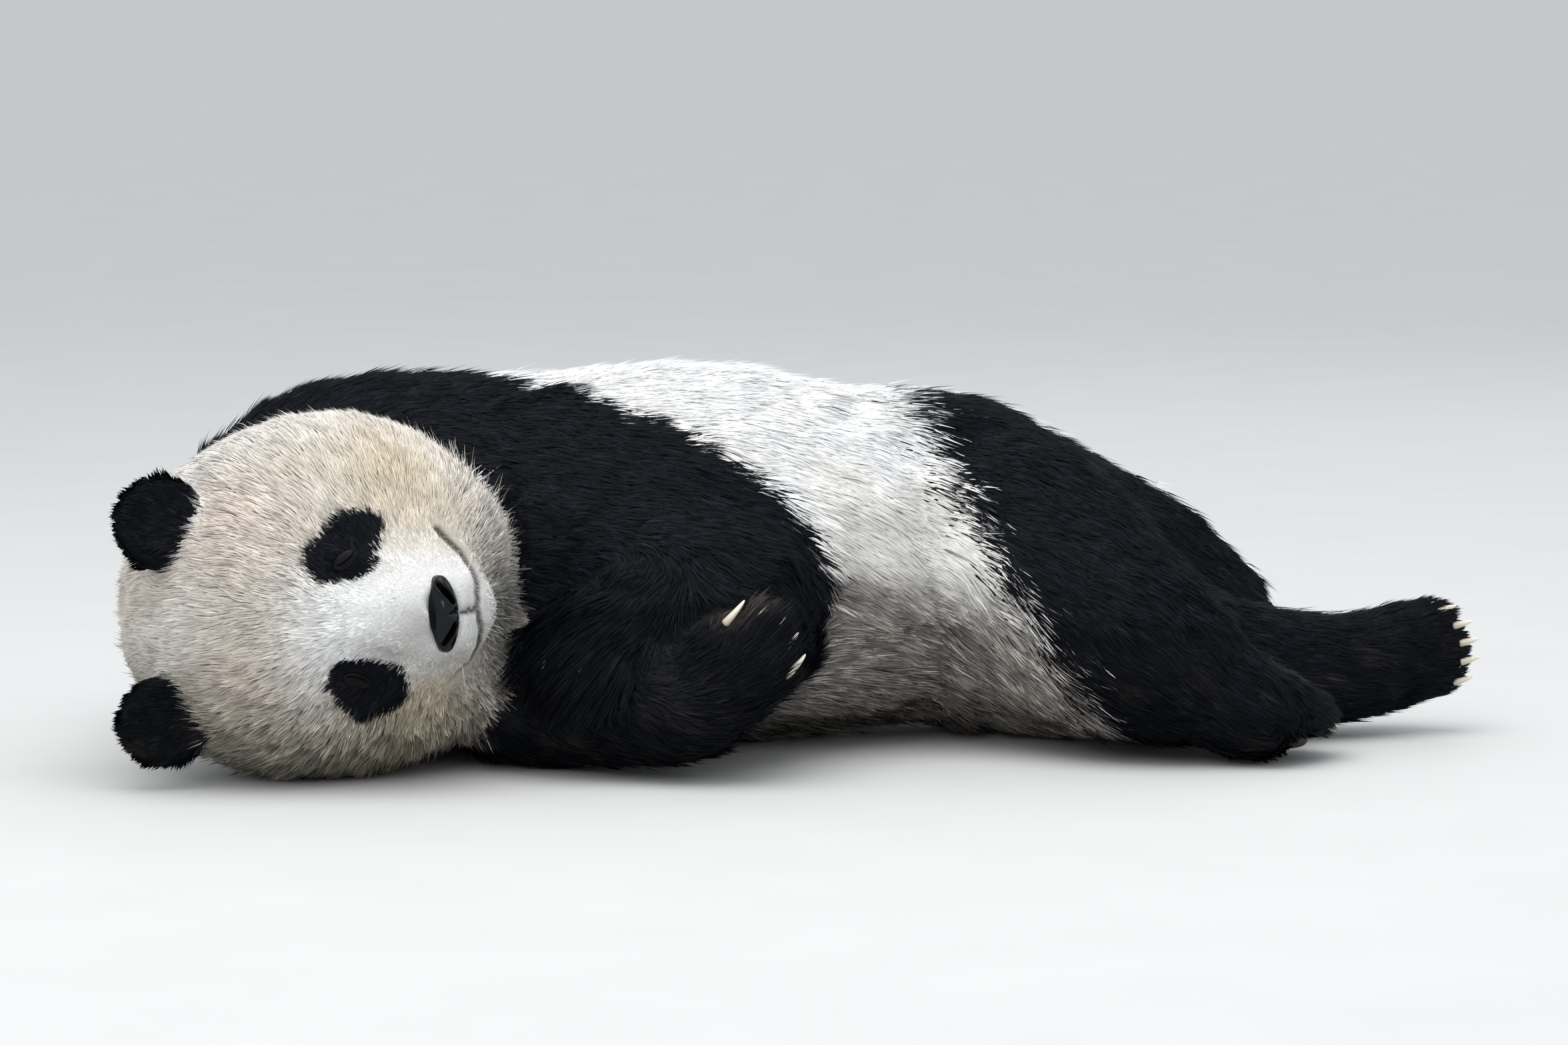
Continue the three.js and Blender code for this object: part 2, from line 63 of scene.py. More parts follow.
# ---------- room ----------
# A plain pale floor under a wide soft lamp overhead, with weaker ones in front and behind, a small one
# that glints on the nose and the claws, and light from all round.
class Wire:
    """A socket of a material's nodes. Sums on it add Math nodes."""

    def __init__(self, tree, socket=None):
        self.tree = tree
        self.socket = socket

    def node(self, kind, settings=None, sockets=None, out=0):
        """A node of that kind: its settings, then a number, a colour or a wire for each socket."""
        made = self.tree.nodes.new("ShaderNode" + kind)
        for name, value in (settings or {}).items():
            setattr(made, name, value)
        for name, value in (sockets or {}).items():
            if isinstance(value, Wire):
                self.tree.links.new(value.socket, made.inputs[name])
            else:
                made.inputs[name].default_value = value
        return Wire(self.tree, made.outputs[out])

    def noise(self, scale, detail):
        """Noise over the piece's own space."""
        place = self.node("TexCoord", out=3)
        return self.node("TexNoise", None, {"Vector": place, "Scale": scale, "Detail": detail})

    def attribute(self, name, out=2):
        return self.node("Attribute", {"attribute_name": name}, out=out)

    def between(self, low, high):
        """The colour low where this wire is 0, high where it is 1, and a mix between."""
        return self.node("Mix", {"data_type": "RGBA"}, {0: self, 6: low, 7: high}, out=2)

    def scaled(self, factor):
        return self.node("VectorMath", {"operation": "SCALE"}, {0: self, "Scale": factor})

    def bump(self, strength, distance):
        return self.node("Bump", None, {"Height": self, "Strength": strength, "Distance": distance})

    def sum(self, operation, first, second):
        return self.node("Math", {"operation": operation}, {0: first, 1: second})

    def __add__(self, other):
        return self.sum("ADD", self, other)

    def __mul__(self, other):
        return self.sum("MULTIPLY", self, other)

    def __sub__(self, other):
        return self.sum("SUBTRACT", self, other)

    def __rsub__(self, other):
        return self.sum("SUBTRACT", other, self)

    __radd__ = __add__
    __rmul__ = __mul__


def finish(name, **constants):
    """A new material, its shader's sockets set to the constants, and a wire to start its nodes from."""
    material = bpy.data.materials.new(name)
    material.use_nodes = True
    shader = material.node_tree.nodes["Principled BSDF"]
    for socket, value in constants.items():
        shader.inputs[socket.replace("_", " ")].default_value = value
    return material, Wire(material.node_tree)


def feed(material, **wires):
    """Wires into the sockets of the material's shader."""
    shader = material.node_tree.nodes["Principled BSDF"]
    for socket, wire in wires.items():
        material.node_tree.links.new(wire.socket, shader.inputs[socket.replace("_", " ")])


FLOOR_ACROSS = 240  # past what the camera sees of it
PLASTER_DARK = (0.53, 0.53, 0.52, 1)
PLASTER_PALE = (0.57, 0.57, 0.56, 1)
bpy.ops.object.select_all(action="DESELECT")
bpy.ops.mesh.primitive_plane_add(size=FLOOR_ACROSS)
floor = bpy.context.object
floor.name = "floor"
plaster, plaster_wire = finish("pale_plaster", Roughness=0.75)
feed(plaster, Base_Color=plaster_wire.noise(6.0, 5.0).between(PLASTER_DARK, PLASTER_PALE))
floor.data.materials.append(plaster)

LAMPS_AIM = Vector((0, 0, 0.15))
ROOM_COLOUR = (0.93, 0.96, 1.0, 1)
LAMPS = {
    # name: (place, size, watts)
    "overhead": ((-0.2, -0.9, 3.4), 3.8, 96),
    "front": ((-1.6, -4.4, 3.0), 3.0, 29),
    "behind": ((1.6, 3.6, 2.8), 2.6, 18),
    "glint": ((-0.9, -5.2, 2.3), 0.35, 8),
}
for name, (place, size, watts) in LAMPS.items():
    lamp_data = bpy.data.lights.new("lamp_" + name, "AREA")
    lamp_data.shape = "DISK"
    lamp_data.size = size
    lamp_data.energy = watts
    lamp = bpy.data.objects.new("lamp_" + name, lamp_data)
    lamp.location = place
    lamp.rotation_euler = (LAMPS_AIM - lamp.location).to_track_quat("-Z", "Y").to_euler()
    bpy.context.scene.collection.objects.link(lamp)
room = bpy.data.worlds.new("room")
room.use_nodes = True
room.node_tree.nodes["Background"].inputs["Color"].default_value = ROOM_COLOUR
room.node_tree.nodes["Background"].inputs["Strength"].default_value = 1.0
bpy.context.scene.world = room
bpy.context.scene.view_settings.view_transform = "Standard"

# ---------- head's axes ----------
# The head is set with the nose towards the chest: its own axes run to the chin, to the left and forward.
HEAD_AT = Vector((-0.369, -0.305, 0.157))
HEAD_PITCH = math.radians(25)
HEAD_TURN = math.radians(4.5)
HEAD_ROLL = math.radians(3.5)
upright = Matrix(((1, 0, 0), (0, 0, -1), (0, 1, 0)))
head_axes = (Matrix.Rotation(HEAD_PITCH, 3, "Z") @ upright @ Matrix.Rotation(-HEAD_TURN, 3, "X")
             @ Matrix.Rotation(HEAD_ROLL, 3, "Z"))
head_turn = np.array(head_axes)


def in_head(points):
    """Places in the head's own axes: chinward, leftward and forward."""
    return (points - np.array(HEAD_AT)) @ head_turn


def from_head(points):
    return np.asarray(points, float) @ head_turn.T + np.array(HEAD_AT)


NOSE_TIP = np.array((0.078, 0.0, 0.205))
# The line where the lips meet, from the corner on the left over the chin to the corner on the right.
LIPS = np.array((
    (0.100, 0.074, 0.120), (0.122, 0.056, 0.138), (0.124, 0.034, 0.160), (0.119, 0.014, 0.174),
    (0.116, 0.000, 0.178), (0.119, -0.014, 0.174), (0.124, -0.034, 0.160), (0.122, -0.056, 0.138),
    (0.100, -0.074, 0.120)))
# The groove from the nose down to the lips.
PHILTRUM = np.array(((0.088, 0.0, 0.205), (0.104, 0.0, 0.192), (0.116, 0.0, 0.178)))


def from_path(points, path):
    """How far each point is from a line through the path's points."""
    nearest = np.full(len(points), np.inf)
    for start, end in zip(path[:-1], path[1:]):
        way = end - start
        along = np.clip((points - start) @ way / max(way @ way, 1e-12), 0, 1)
        nearest = np.minimum(nearest, np.linalg.norm(points - start - along[:, None] * way, axis=1))
    return nearest


def rise(values, low, high):
    """0 below low, 1 above high, and a smooth rise between them; it falls where low is above high."""
    share = np.clip((values - low) / (high - low), 0, 1)
    return share * share * (3 - 2 * share)


# ---------- skin ----------
# The hide, one piece from nose to tail: the flesh under the coat, closed over the cuts between the
# solids, with the muzzle, lips and brow worked into it, and sunk by the depth of the coat.
FLESH = ["head", "neck", "trunk", "tail", "ear_left", "ear_right", "upper_arm_left", "upper_arm_right",
         "forearm_left", "forearm_right", "hand_left", "hand_right", "thigh_left", "thigh_right",
         "shank_left", "shank_right", "foot_left", "foot_right"]
WELD = 1e-5  # points of the solids closer than this are one
SKIN_GRAIN = 0.006
SKIN_SMOOTHINGS = 10
FINE_FROM = 0.085  # the face is drawn finer forward of this, in the head's axes
FINE_MIDDLE = 0.04
FINE_HALF = (0.11, 0.12)  # half its length and half its width
IN_FACE = 0.08  # the mouth is cut forward of this
LIP_GROOVE = (0.006, 0.0045)  # how deep and how wide
PHILTRUM_GROOVE = (0.004, 0.003)
SHARE_SMOOTHINGS = 24


def select_only(*pieces):
    bpy.ops.object.select_all(action="DESELECT")
    for piece in pieces:
        piece.select_set(True)
    bpy.context.view_layer.objects.active = pieces[-1]


def copy_of(node):
    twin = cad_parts[node].copy()
    twin.data = twin.data.copy()
    twin.parent = None
    for key in list(twin.keys()):
        del twin[key]
    bpy.context.scene.collection.objects.link(twin)
    return twin


def apply_modifier(kind, **settings):
    modifier = bpy.context.object.modifiers.new(kind, kind)
    for setting, value in settings.items():
        setattr(modifier, setting, value)
    bpy.ops.object.modifier_apply(modifier=kind)


def edit_all():
    bpy.ops.object.mode_set(mode="EDIT")
    bpy.ops.mesh.select_all(action="SELECT")


def read(items, field, each=3, kind=float):
    """That field of all the items as an array, with so many numbers in each row."""
    values = np.empty(len(items) * each, kind)
    items.foreach_get(field, values)
    return values.reshape(-1, each)


def vertex_places(mesh):
    return read(mesh.vertices, "co")


def vertex_normals(mesh):
    return read(mesh.vertex_normals, "vector", kind=np.float32).astype(float)


def move_vertices(mesh, places):
    mesh.vertices.foreach_set("co", places.ravel())
    mesh.update()


select_only(*[copy_of(node) for node in FLESH + ["eye_left", "eye_right"]])
bpy.ops.object.join()
edit_all()
bpy.ops.mesh.remove_doubles(threshold=WELD)
bpy.ops.object.mode_set(mode="OBJECT")
apply_modifier("REMESH", mode="VOXEL", voxel_size=SKIN_GRAIN)
edit_all()
bpy.ops.mesh.separate(type="LOOSE")
bpy.ops.object.mode_set(mode="OBJECT")
shells = sorted(bpy.context.selected_objects, key=lambda shell: len(shell.data.vertices))
skin = shells.pop()
for shell in shells:
    bpy.data.objects.remove(shell)
select_only(skin)
skin.name = "skin"
skin.data.name = "skin"
skin.data.materials.clear()
apply_modifier("SMOOTH", factor=0.5, iterations=SKIN_SMOOTHINGS)

# The face is drawn finer than the rest.
face_local = in_head(read(skin.data.polygons, "center"))
fine = face_local[:, 2] > FINE_FROM
fine &= np.abs(face_local[:, 0] - FINE_MIDDLE) < FINE_HALF[0]
fine &= np.abs(face_local[:, 1]) < FINE_HALF[1]
bpy.ops.object.mode_set(mode="EDIT")
bpy.ops.mesh.select_all(action="DESELECT")
bpy.ops.object.mode_set(mode="OBJECT")
skin.data.polygons.foreach_set("select", fine)
bpy.ops.object.mode_set(mode="EDIT")
bpy.ops.mesh.select_mode(type="FACE")
bpy.ops.mesh.subdivide(number_cuts=1, smoothness=0.6)
bpy.ops.object.mode_set(mode="OBJECT")

# Strokes of the face, in the head's axes: (where, how far it reaches each way, how the flesh moves).
FACE_STROKES = [
    ((-0.060, 0.004, 0.145), (0.070, 0.010, 0.060), (0.0, 0.0, -0.004)),  # furrow of the brow
    ((0.100, 0.030, 0.176), (0.024, 0.018, 0.024), (0.0, 0.002, 0.005)),  # left lip's pad
    ((0.100, -0.030, 0.176), (0.024, 0.018, 0.024), (0.0, -0.002, 0.005)),  # right lip's pad
    ((0.138, 0.0, 0.150), (0.014, 0.036, 0.020), (0.005, 0.0, 0.003)),  # lower lip
    ((0.030, 0.040, 0.150), (0.040, 0.010, 0.030), (0.0, 0.0, -0.004)),  # beside the bridge, left
    ((0.030, -0.040, 0.150), (0.040, 0.010, 0.030), (0.0, 0.0, -0.004)),  # beside the bridge, right
]
skin_places = vertex_places(skin.data)
local = in_head(skin_places)
moved = local.copy()
for where, reach, way in FACE_STROKES:
    near = np.exp(-(((local - where) / reach) ** 2).sum(1))
    moved += near[:, None] * np.array(way)
in_face = local[:, 2] > IN_FACE
PATH_STEPS = 25


def laid_on(path, places):
    """The path cut into steps, each step moved to the nearest of the places."""
    steps = np.linspace(0, len(path) - 1, PATH_STEPS)
    points = np.stack([np.interp(steps, np.arange(len(path)), path[:, axis]) for axis in range(3)], 1)
    return np.array([places[np.linalg.norm(places - point, axis=1).argmin()] for point in points])


LIPS = laid_on(LIPS, moved)
PHILTRUM = laid_on(PHILTRUM, moved)
groove = LIP_GROOVE[0] * np.exp(-((from_path(local, LIPS) / LIP_GROOVE[1]) ** 2))
groove += PHILTRUM_GROOVE[0] * np.exp(-((from_path(local, PHILTRUM) / PHILTRUM_GROOVE[1]) ** 2))
head_normals = vertex_normals(skin.data) @ head_turn
moved -= (groove * in_face)[:, None] * head_normals
move_vertices(skin.data, from_head(moved))

# Each skin vertex belongs to the solid that it lies nearest to, with soft edges between them.
solid_places = []
solid_faces = []
solid_of_face = []
for number, node in enumerate(FLESH):
    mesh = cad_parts[node].data
    first = len(solid_places)
    solid_places.extend(vertex.co for vertex in mesh.vertices)
    for polygon in mesh.polygons:
        solid_faces.append([first + v for v in polygon.vertices])
        solid_of_face.append(number)
solids = BVHTree.FromPolygons(solid_places, solid_faces)
skin_places = vertex_places(skin.data)
share = np.zeros((len(skin_places), len(FLESH)))
for vertex, place in enumerate(skin_places):
    share[vertex, solid_of_face[solids.find_nearest(place)[2]]] = 1
edges = read(skin.data.edges, "vertices", 2, np.int64)
neighbours = np.bincount(edges.ravel(), minlength=len(skin_places)).astype(float)


def soften(values, times):
    """Values at the skin's vertices, each mixed with its neighbours', so many times over."""
    for _ in range(times):
        mixed = np.empty_like(values)
        for column in range(values.shape[1]):
            one = values[:, column]
            total = np.bincount(edges[:, 0], one[edges[:, 1]], len(one))
            total += np.bincount(edges[:, 1], one[edges[:, 0]], len(one))
            mixed[:, column] = 0.5 * one + 0.5 * total / neighbours
        values = mixed
    return values


share = soften(share, SHARE_SMOOTHINGS)
part = {node: number for number, node in enumerate(FLESH)}

# ---------- length of the coat ----------
# Long on the trunk and the limbs, shorter on the feet and the ears, velvet on the muzzle. It stands out
# from the skin by a share of its length, and the skin is sunk by as much.
HAIR = {
    "head": 0.018, "neck": 0.028, "trunk": 0.028, "tail": 0.030, "ear_left": 0.013, "ear_right": 0.013,
    "upper_arm_left": 0.028, "upper_arm_right": 0.028, "forearm_left": 0.028, "forearm_right": 0.028,
    "hand_left": 0.040, "hand_right": 0.027, "thigh_left": 0.029, "thigh_right": 0.029,
    "shank_left": 0.028, "shank_right": 0.028, "foot_left": 0.024, "foot_right": 0.021}
STANDS_OUT = 0.20  # of a hair's length
FACE_HAIR = ((0.03, 0.06, 0.10, 0.16, 0.24), (0.003, 0.006, 0.010, 0.015, 0.020))  # by way from the nose
CHIN_LONGER = 0.013
LOW_CHEEK_LONGER = 0.007
AT_LIPS = 0.15  # share of the length that is left along the lips
PATCH_HAIR = 0.010  # longest hair round the eyes
FLOOR_CLEAR = 0.003
EYES = {
    # side: (middle of the black patch, slope of its long axis, half its length, half its width)
    1: ((0.001, 0.067), math.radians(31), 0.047, 0.028),
    -1: ((0.010, -0.063), math.radians(-22), 0.043, 0.027),
}


def in_patch(local):
    """How deep each place is in an eye's black patch: 1 in its middle, 0 on its edge, less outside."""
    deepest = np.full(len(local), -9.0)
    for (x, y), slope, half_length, half_width in EYES.values():
        reach = local[:, :2] - (x, y)
        along = (reach @ (math.cos(slope), math.sin(slope))) / half_length
        beside = (reach @ (-math.sin(slope), math.cos(slope))) / (half_width * (1 + 0.22 * along))
        round_it = np.arctan2(beside, along)
        lobes = 0.07 * np.sin(3 * round_it + 0.9) + 0.05 * np.sin(5 * round_it + 2.2)
        deepest = np.maximum(deepest, 1 + lobes - np.hypot(along, beside))
    return np.where(local[:, 2] > 0.05, deepest, -9.0)


def hair_length(places, share):
    """How long the hair is at each place, from the shares that the parts of the body have in it."""
    local = in_head(places)
    length = share @ np.array([HAIR[node] for node in FLESH])
    from_nose = np.linalg.norm(local - NOSE_TIP, axis=1)
    on_face = np.interp(from_nose, *FACE_HAIR)
    on_face += CHIN_LONGER * rise(local[:, 0], 0.125, 0.175)
    on_face += LOW_CHEEK_LONGER * rise(-local[:, 1], 0.06, 0.15)
    on_face *= AT_LIPS + (1 - AT_LIPS) * rise(from_path(local[:, :2], LIPS[:, :2]), 0.003, 0.012)
    on_face = np.where(in_patch(local) > -0.1, np.minimum(on_face, PATCH_HAIR), on_face)
    face = share[:, part["head"]]
    return length * (1 - face) + on_face * face


skin_length = hair_length(skin_places, share)
skin_normals = vertex_normals(skin.data)
sunk = skin_places - skin_normals * (STANDS_OUT * skin_length)[:, None]
sunk[:, 2] = np.maximum(sunk[:, 2], FLOOR_CLEAR)
move_vertices(skin.data, sunk)
select_only(skin)
apply_modifier("SMOOTH", factor=0.4, iterations=2)
bpy.ops.object.shade_smooth()
edit_all()
bpy.ops.uv.smart_project(angle_limit=math.radians(66), island_margin=0.002)
bpy.ops.object.mode_set(mode="OBJECT")
skin.data.uv_layers.active.name = "OFBake"
skin_places = vertex_places(skin.data)
skin_normals = vertex_normals(skin.data)
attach(skin, "root")
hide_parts(*FLESH)

# ---------- markings ----------
# Black limbs, ears and eye patches, a black yoke over the shoulders, and the rest white: cream on the
# face, and grey-brown on the belly, partly stain and partly painted shade. The skin and the coat take
# their colours from the same rules.
YOKE_ON_BACK = -0.235  # where the yoke ends on the back
YOKE_ON_BELLY = 0.135  # and on the belly
YOKE_SWEEP = 4.1  # how fast it widens from the one to the other
HIND_EDGE = 0.430  # where the hind black starts at the floor
HIND_SLOPE = 0.62  # and how much nearer the head it starts at each metre up
HIND_ROUND = math.radians(92)  # how far round from the belly it reaches, towards the back
BODY_MIDDLE = ((0.0, 0.27, 0.52), (0.0, 0.03, 0.07), (0.189, 0.186, 0.100))  # x, y and z along the body
YOKE_SOFT = 0.012  # half the breadth of each edge
HIND_SOFT = 0.025
BLACK_PARTS = [node for node in FLESH if node.split("_")[0] in
               ("ear", "upper", "forearm", "hand", "shank", "foot", "neck")]
SMALL_BLACK = [number for node, number in part.items() if node.split("_")[0] in ("ear", "hand", "foot")]


def ripple(places, size, seed):
    """A smooth random number over space, about -1 to 1, that changes over that distance."""
    dice = np.random.default_rng(seed)
    waves = dice.normal(size=(3, 12))
    waves *= 2 * math.pi / size * dice.uniform(0.6, 1.6, 12) / np.linalg.norm(waves, axis=0)
    return np.sin(places @ waves + dice.uniform(0, 6.3, 12)).sum(1) / math.sqrt(6)


def blackness(places, share, ragged):
    """1 where the coat is black and 0 where it isn't. Ragged moves the edges, by so many metres."""
    x, y, z = places.T
    middle_y = np.interp(x, BODY_MIDDLE[0], BODY_MIDDLE[1])
    middle_z = np.interp(x, BODY_MIDDLE[0], BODY_MIDDLE[2])
    round_body = np.arctan2(np.abs(z - middle_z), middle_y - y)
    belly = (1 + np.cos(round_body)) / 2
    yoke_edge = YOKE_ON_BACK + (YOKE_ON_BELLY - YOKE_ON_BACK) * belly**YOKE_SWEEP
    yoke = rise(yoke_edge - x + ragged, -YOKE_SOFT, YOKE_SOFT)
    hind = rise(x - HIND_EDGE + HIND_SLOPE * z + 1.6 * ragged, -HIND_SOFT, HIND_SOFT)
    hind *= rise(HIND_ROUND - round_body + 4 * ragged, -0.05, 0.05)
    value = np.zeros(len(places))
    for node, number in part.items():
        if node in BLACK_PARTS:
            value += share[:, number]
        elif node == "trunk":
            value += share[:, number] * np.maximum(yoke, hind)
        elif node.startswith("thigh"):
            value += share[:, number] * hind
    black = rise(value + 8 * ragged, 0.40, 0.60)
    return np.maximum(black, rise(in_patch(in_head(places)) + 18 * ragged, -0.06, 0.06))


# Colours of the hair, as shares of red, green and blue.
WHITE = np.array((0.74, 0.74, 0.735))
CREAM = np.array((0.60, 0.555, 0.495))
IVORY = np.array((0.72, 0.705, 0.675))
PINK = np.array((0.62, 0.535, 0.46))
YELLOW = np.array((0.52, 0.435, 0.295))
TAN = np.array((0.30, 0.26, 0.175))
ASH = np.array((0.36, 0.355, 0.335))
STONE = np.array((0.17, 0.155, 0.12))
STAIN_AND_SHADE = np.array((0.205, 0.187, 0.170))
BLACK = np.array((0.0040, 0.0051, 0.0074))
RUSTY = np.array((0.026, 0.022, 0.020))
# Where the face is tinted, in the head's axes: (middle, reach, colour, strength), the cream first and then,
# over the white of the muzzle, grey hair about the nose and painted shade on the muzzle's lower side.
TINTS = [
    ((0.075, 0.125, 0.090), 0.065, YELLOW, 0.75),
    ((0.070, -0.085, 0.115), 0.050, YELLOW, 0.75),
    ((-0.085, 0.100, 0.090), 0.060, PINK, 0.85),
    ((-0.100, -0.065, 0.100), 0.055, PINK, 0.75),
    ((0.010, 0.130, 0.080), 0.060, YELLOW, 0.35),
    ((0.060, -0.130, 0.060), 0.075, TAN, 0.85),
    ((0.170, 0.0, 0.090), 0.050, ASH * 0.6, 0.85),
]
MUZZLE_GREY_AND_SHADE = [
    ((0.030, -0.036, 0.170), 0.024, ASH, 0.55),
    ((0.085, -0.044, 0.165), 0.024, ASH, 0.6),
    ((0.050, -0.008, 0.195), 0.022, ASH, 0.65),
    ((0.105, 0.0, 0.190), 0.014, ASH, 0.4),
]
MUZZLE_LINE = np.array(((-0.005, 0, 0.14), (0.09, 0, 0.18)))
MUZZLE_REACH = 0.062
MOUTH_BREADTH = 0.0036  # of the dark hair along the lips
HIDE_TONE = 0.8  # the skin against the hair that grows on it


def tinted(base, colour, strength):
    return base + (colour - base) * strength[:, None]


def tinted_near(base, local, tints):
    for middle, reach, colour, strength in tints:
        near = np.exp(-((np.linalg.norm(local - middle, axis=1) / reach) ** 2))
        base = tinted(base, colour, near * strength)
    return base


def hair_colour(places, share, ragged):
    """The hair's colour, and how black it is, at each place."""
    local = in_head(places)
    x, y, z = places.T
    face = share[:, part["head"]]
    blotch = ripple(places, 0.11, 5)
    # The face's cream is paler towards the top of the head and darkened with stone towards its bottom and
    # the chin: painted light and shade from above.
    paler = rise(blotch, -0.4, 1.6) * 0.3 + 0.4 * rise(z, 0.25, 0.33)
    cream = tinted(np.tile(CREAM, (len(places), 1)), WHITE, paler)
    cream = tinted_near(cream, local, TINTS)
    cream = tinted(cream, STONE, 0.85 * rise(z + 0.2 * local[:, 0], 0.125, 0.015))
    muzzle = np.exp(-((from_path(local, MUZZLE_LINE) / MUZZLE_REACH) ** 4))
    cream = tinted(cream, WHITE * 1.04, 0.95 * muzzle)
    # Grey hair about the nose, and painted shade along the muzzle's lower side.
    cream = tinted_near(cream, local, MUZZLE_GREY_AND_SHADE)
    mouth = np.minimum(from_path(local[:, :2], LIPS[:, :2]), from_path(local[:, :2], PHILTRUM[:, :2]) * 1.5)
    mouth = np.exp(-((mouth / MOUTH_BREADTH) ** 2)) * (local[:, 2] > 0.09)
    mouth *= rise(local[:, 1], -0.085, -0.040)
    cream = tinted(cream, STONE * 0.2, 0.95 * mouth)
    # Lower down, the body's white turns ivory and then grey-brown, less so on the far side: partly the
    # belly's own stain and partly painted shade beneath the body.
    body = tinted(np.tile(WHITE, (len(places), 1)), IVORY, rise(z + 0.03 * blotch, 0.33, 0.22))
    low = rise(z + 0.016 * blotch + 0.05 * rise(x, 0.20, 0.36), 0.250, 0.150)
    middle_y = np.interp(x, BODY_MIDDLE[0], BODY_MIDDLE[1])
    body = tinted(body, STAIN_AND_SHADE, low * (0.93 - 0.55 * rise(y - middle_y, -0.10, 0.06)))
    white = tinted(body, cream, face)
    black = blackness(places, share, ragged)
    fringe = rise(ripple(places, 0.05, 9), 0.3, 1.5) * 0.3
    dark = tinted(np.tile(BLACK, (len(places), 1)), RUSTY, fringe * rise(z, 0.16, 0.05))
    dark = dark * (1 - 0.25 * rise(share[:, SMALL_BLACK].sum(1), 0.3, 0.8))[:, None]
    # The upper edge and the toe end of the right hand are painted a lighter brown: painted light along the
    # rim.
    lit_rim = np.maximum(rise(z, 0.138, 0.166) * rise(x, -0.04, 0.0), 0.5 * rise(x, 0.100, 0.122))
    dark = tinted(dark, RUSTY * 1.6, 0.9 * share[:, part["hand_right"]] * lit_rim)
    return white * (1 - black)[:, None] + dark * black[:, None], black


def write_attribute(mesh, name, kind, values):
    layer = mesh.attributes.new(name, kind, "POINT")
    values = np.ascontiguousarray(values, np.float32).ravel()
    layer.data.foreach_set("color" if "COLOR" in kind else "vector", values)


skin_colour, skin_black = hair_colour(skin_places, share, np.zeros(len(skin_places)))
write_attribute(skin.data, "coat_colour", "FLOAT_COLOR",
                np.c_[skin_colour * HIDE_TONE, np.ones(len(skin_colour))])
hide, hide_wire = finish("panda_hide", Roughness=0.7, Specular_IOR_Level=0.06)
hide_grain = hide_wire.noise(420.0, 4.0)
feed(hide,
     Base_Color=hide_wire.attribute("coat_colour", 0).scaled(hide_grain * 0.6 + 0.65),
     Normal=hide_grain.bump(0.5, 0.002))
skin.data.materials.append(hide)

# ---------- nose ----------
# The bare pad of the nose: moist, dark and finely pebbled, broad at the top, with comma-shaped nostrils
# and a groove down its middle to the lip.
NOSE_AT = np.array((0.0745, 0.0, 0.1870))
NOSE_HALF = np.array((0.0140, 0.0375, 0.0178))
# The left nostril's line on the pad, from its inner end: chinward and leftward of the pad's middle.
NOSTRIL = np.array(((0.0048, 0.0125, 0.0), (0.0022, 0.0185, 0.0),
                    (-0.0016, 0.0240, 0.0), (-0.0050, 0.0290, 0.0)))
NOSTRIL_HALF = 0.0023  # half its breadth
NOSTRIL_DEPTH = ((0.012, 0.018, 0.030), (0.75, 0.70, 0.30))  # in half depths of the pad, by how far aside
RIM_AT = 0.0045  # from the nostril's line
RIM_HALF = 0.0022
NOSE_SQUARE = np.array((0.84, 0.88, 0.55))  # how far the ball is squared along each axis
NOSE_BLACK = (0.0030, 0.0036, 0.0050, 1)
HOLLOW_BLACK = (0.002, 0.002, 0.002, 1)
bpy.ops.object.select_all(action="DESELECT")
bpy.ops.mesh.primitive_ico_sphere_add(subdivisions=6, radius=1)
nose = bpy.context.object
nose.name = "nose_pad"
pad = vertex_places(nose.data)
shaped = np.sign(pad) * np.abs(pad) ** NOSE_SQUARE
shaped[:, 1] *= 1 - 0.24 * rise(pad[:, 0], -0.1, 1.0)
front = rise(pad[:, 2], -0.1, 0.35)
flat = np.abs(pad) * NOSE_HALF * np.array((1, 1, 0))
flat[:, 0] *= np.sign(pad[:, 0])
pit = from_path(flat, NOSTRIL)
deep = np.exp(-((pit / NOSTRIL_HALF) ** 2)) * front * np.interp(flat[:, 1], *NOSTRIL_DEPTH)
rim = np.exp(-(((pit - RIM_AT) / RIM_HALF) ** 2)) * front
split = np.exp(-((pad[:, 1] / 0.055) ** 2)) * rise(pad[:, 0], -0.25, 0.25) * front
crest = np.exp(-((pad[:, 1] / 0.30) ** 2)) * np.exp(-(((pad[:, 0] + 0.25) / 0.5) ** 2)) * front
shaped[:, 2] += 0.08 * rim + 0.12 * crest - deep - 0.16 * split
shaped[:, :2] *= 1 - 0.14 * rise(pad[:, 2], 0.1, 0.9)[:, None]
move_vertices(nose.data, from_head(NOSE_AT + shaped * NOSE_HALF))
select_only(nose)
bpy.ops.object.shade_smooth()
# The nostrils are painted darker and less glossy inside: painted shade in their hollows.
write_attribute(nose.data, "hollow", "FLOAT_VECTOR", np.repeat(np.clip(deep * 1.6, 0, 1)[:, None], 3, 1))
nose_skin, nose_wire = finish("nose_skin", Coat_Roughness=0.08, Specular_IOR_Level=0.06)
nose_place = nose_wire.node("TexCoord", out=3)
pebbles = nose_wire.node("TexVoronoi", {"feature": "SMOOTH_F1"}, {"Vector": nose_place, "Scale": 620.0})
hollow = nose_wire.attribute("hollow")
feed(nose_skin,
     Base_Color=hollow.between(NOSE_BLACK, HOLLOW_BLACK),
     Roughness=nose_wire.noise(90.0, 3.0) * 0.3 + 0.16,
     Coat_Weight=0.30 * (1 - hollow),
     Normal=pebbles.bump(0.55, 0.0007))
nose.data.materials.append(nose_skin)
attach(nose, "root")
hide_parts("nose")

